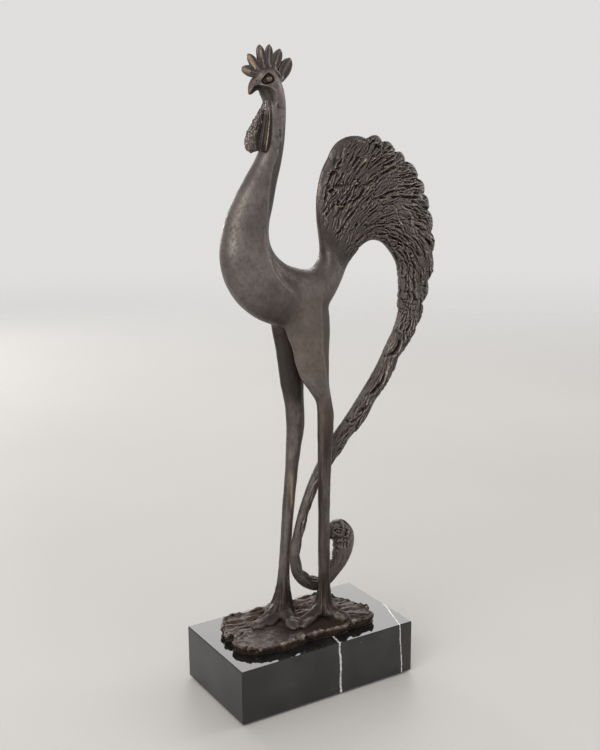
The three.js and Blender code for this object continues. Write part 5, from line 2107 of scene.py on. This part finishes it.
@dataclass
class Studio:
    """A pale floor, soft pale light from all round and a camera at the photograph's viewing angle.

    Attributes:
        camera_place: The camera's place in millimetres.
        yaw: How far the camera is turned round from +y towards +x, in degrees.
        pitch: How far it looks down, in degrees.
        roll: How far it leans, in degrees.
        lens: The lens in millimetres on a sensor of 36 mm along the picture's long side.
        sensor: The sensor's long side in millimetres.
        floor_solid: How far out the floor is solid, in metres.
        floor_reach: How far out it has faded to nothing, in metres.
        surround: The surround's light where nothing is added.
        glows: What is added towards some directions: the direction, the cosines of the angles from it where
            the glow begins and is full, and its strength.
        panels: Each panel's name, place and aim in metres, width in metres and power in watts.
        panel_colour: The panels' colour.
    """

    camera_place: Place = (-579.6, -942.7, 608.1)
    yaw: float = 31.67
    pitch: float = 13.79
    roll: float = -0.4
    lens: float = 53.58
    sensor: float = 36.0
    floor_solid: float = 0.7
    floor_reach: float = 3.2
    surround: float = 0.28
    glows: tuple[tuple[Place, float, float, float], ...] = (
        ((0.525, 0.851, 0.0), -0.3, 0.85, 0.46),
        ((0.475, 0.77, 0.425), 0.95, 0.988, 2.5),
        ((-0.8, -0.4, 0.45), 0.2, 1.0, 0.4),
        ((0.5, -0.85, 0.1), 0.3, 1.0, 0.32),
    )
    panels: tuple[tuple[str, Place, Place, float, float], ...] = (
        ("key_panel", (-1.9, -1.1, 1.3), (0, 0, 0.35), 1.7, 30),
        ("rim_panel", (-0.15, 2.3, 0.65), (0, 0, 0.4), 0.5, 11),
        ("fill_panel", (1.9, -0.3, 1.2), (0, 0, 0.35), 0.9, 8),
    )
    panel_colour: Colour = (1.0, 0.97, 0.93)

    def build_camera(self) -> None:
        """Places the camera: its axes are right, up and back, turned by yaw, pitch and roll."""
        yaw, pitch, roll = (math.radians(value) for value in (self.yaw, self.pitch, self.roll))
        ahead = np.array([
            math.sin(yaw) * math.cos(pitch), math.cos(yaw) * math.cos(pitch), -math.sin(pitch)])
        level = np.array([math.cos(yaw), -math.sin(yaw), 0.0])
        upright = np.cross(level, ahead)
        right = level * math.cos(roll) + upright * math.sin(roll)
        up = upright * math.cos(roll) - level * math.sin(roll)
        data = bpy.data.cameras.new("camera")
        data.lens = self.lens
        data.sensor_width = self.sensor
        data.clip_start, data.clip_end = 0.01, 100
        camera = bpy.data.objects.new("camera", data)
        turn = Matrix(np.stack([right, up, -ahead], axis=1).tolist()).to_4x4()
        camera.matrix_world = Matrix.Translation(Vector(self.camera_place) * MM) @ turn
        bpy.context.scene.collection.objects.link(camera)
        bpy.context.scene.camera = camera

    def build_floor(self) -> None:
        """Lays the floor: a pale round sheet just under the felt."""
        around = 96
        rings = np.linspace(0.0, 1.0, 30)[1:, None] ** 2 * self.floor_reach / MM
        x, y = (rings * values[None] for values in round_ring(around))
        sheet = Surface.from_rings(np.stack([x, y, np.zeros_like(x)], axis=-1) - BIRD_PLACE - [0, 0, 0.02])
        sheet.fans = sheet.fans[:around]
        s = Shader(bpy.data.materials.new("pale_floor"))
        cloud = s.ramp(s.noise(900, 3, 0.5), 0.3, 0.7)
        away = s.node("ShaderNodeVectorMath", operation="LENGTH")
        s.feed(away, {0: s.place})
        s.feed(s.surface, {
            "Base Color": s.mix(cloud, (0.6, 0.58, 0.56), (0.64, 0.62, 0.6)), "Roughness": 0.6,
            "Alpha": s.ramp(away.outputs["Value"], self.floor_solid, self.floor_reach, 1, 0)})
        mesh = sheet.to_mesh("pale_floor")
        mesh.materials.append(s.owner)
        floor = bpy.data.objects.new("pale_floor", mesh)
        bpy.context.scene.collection.objects.link(floor)

    def build_light(self) -> None:
        """Lights the scene: a pale surround, brightest behind and above, and three panels."""
        world = bpy.data.worlds.new("pale_surround")
        s = Shader(world)
        level = self.surround
        for towards, low, high, gain in self.glows:
            dot = s.node("ShaderNodeVectorMath", operation="DOT_PRODUCT")
            s.feed(dot, {0: s.coordinates["Generated"], 1: towards})
            level = s.math("ADD", s.ramp(dot.outputs["Value"], low, high, 0, gain), level)
        tint = s.node("ShaderNodeCombineColor")
        s.feed(tint, {0: level, 1: s.math("MULTIPLY", level, 0.99), 2: s.math("MULTIPLY", level, 0.98)})
        s.feed(s.surface, {"Color": tint.outputs[0], "Strength": 1.0})
        bpy.context.scene.world = world
        for name, place, aim, size, power in self.panels:
            data = bpy.data.lights.new(name, "AREA")
            data.energy, data.size = power, size
            data.color = self.panel_colour
            lamp = bpy.data.objects.new(name, data)
            lamp.location = place
            lamp.rotation_euler = (Vector(aim) - Vector(place)).to_track_quat("-Z", "Y").to_euler()
            bpy.context.scene.collection.objects.link(lamp)
        bpy.context.scene.view_settings.view_transform = "Standard"


def main() -> None:
    """Builds the scene: camera, castings, head, tail, ground plate, fittings and studio."""
    logging.basicConfig(level=logging.INFO, format="%(message)s")
    studio = Studio()
    studio.build_camera()
    tail, body = Tail(), Body()
    casting = body.build(tail)
    tail.build(casting)
    head = Head(body.rows)
    head.build_head()
    head.build_comb()
    head.build_wattles()
    head.build_eyes()
    GroundPlate().build()
    dress_fittings()
    studio.build_floor()
    studio.build_light()


if __name__ == "__main__":
    main()
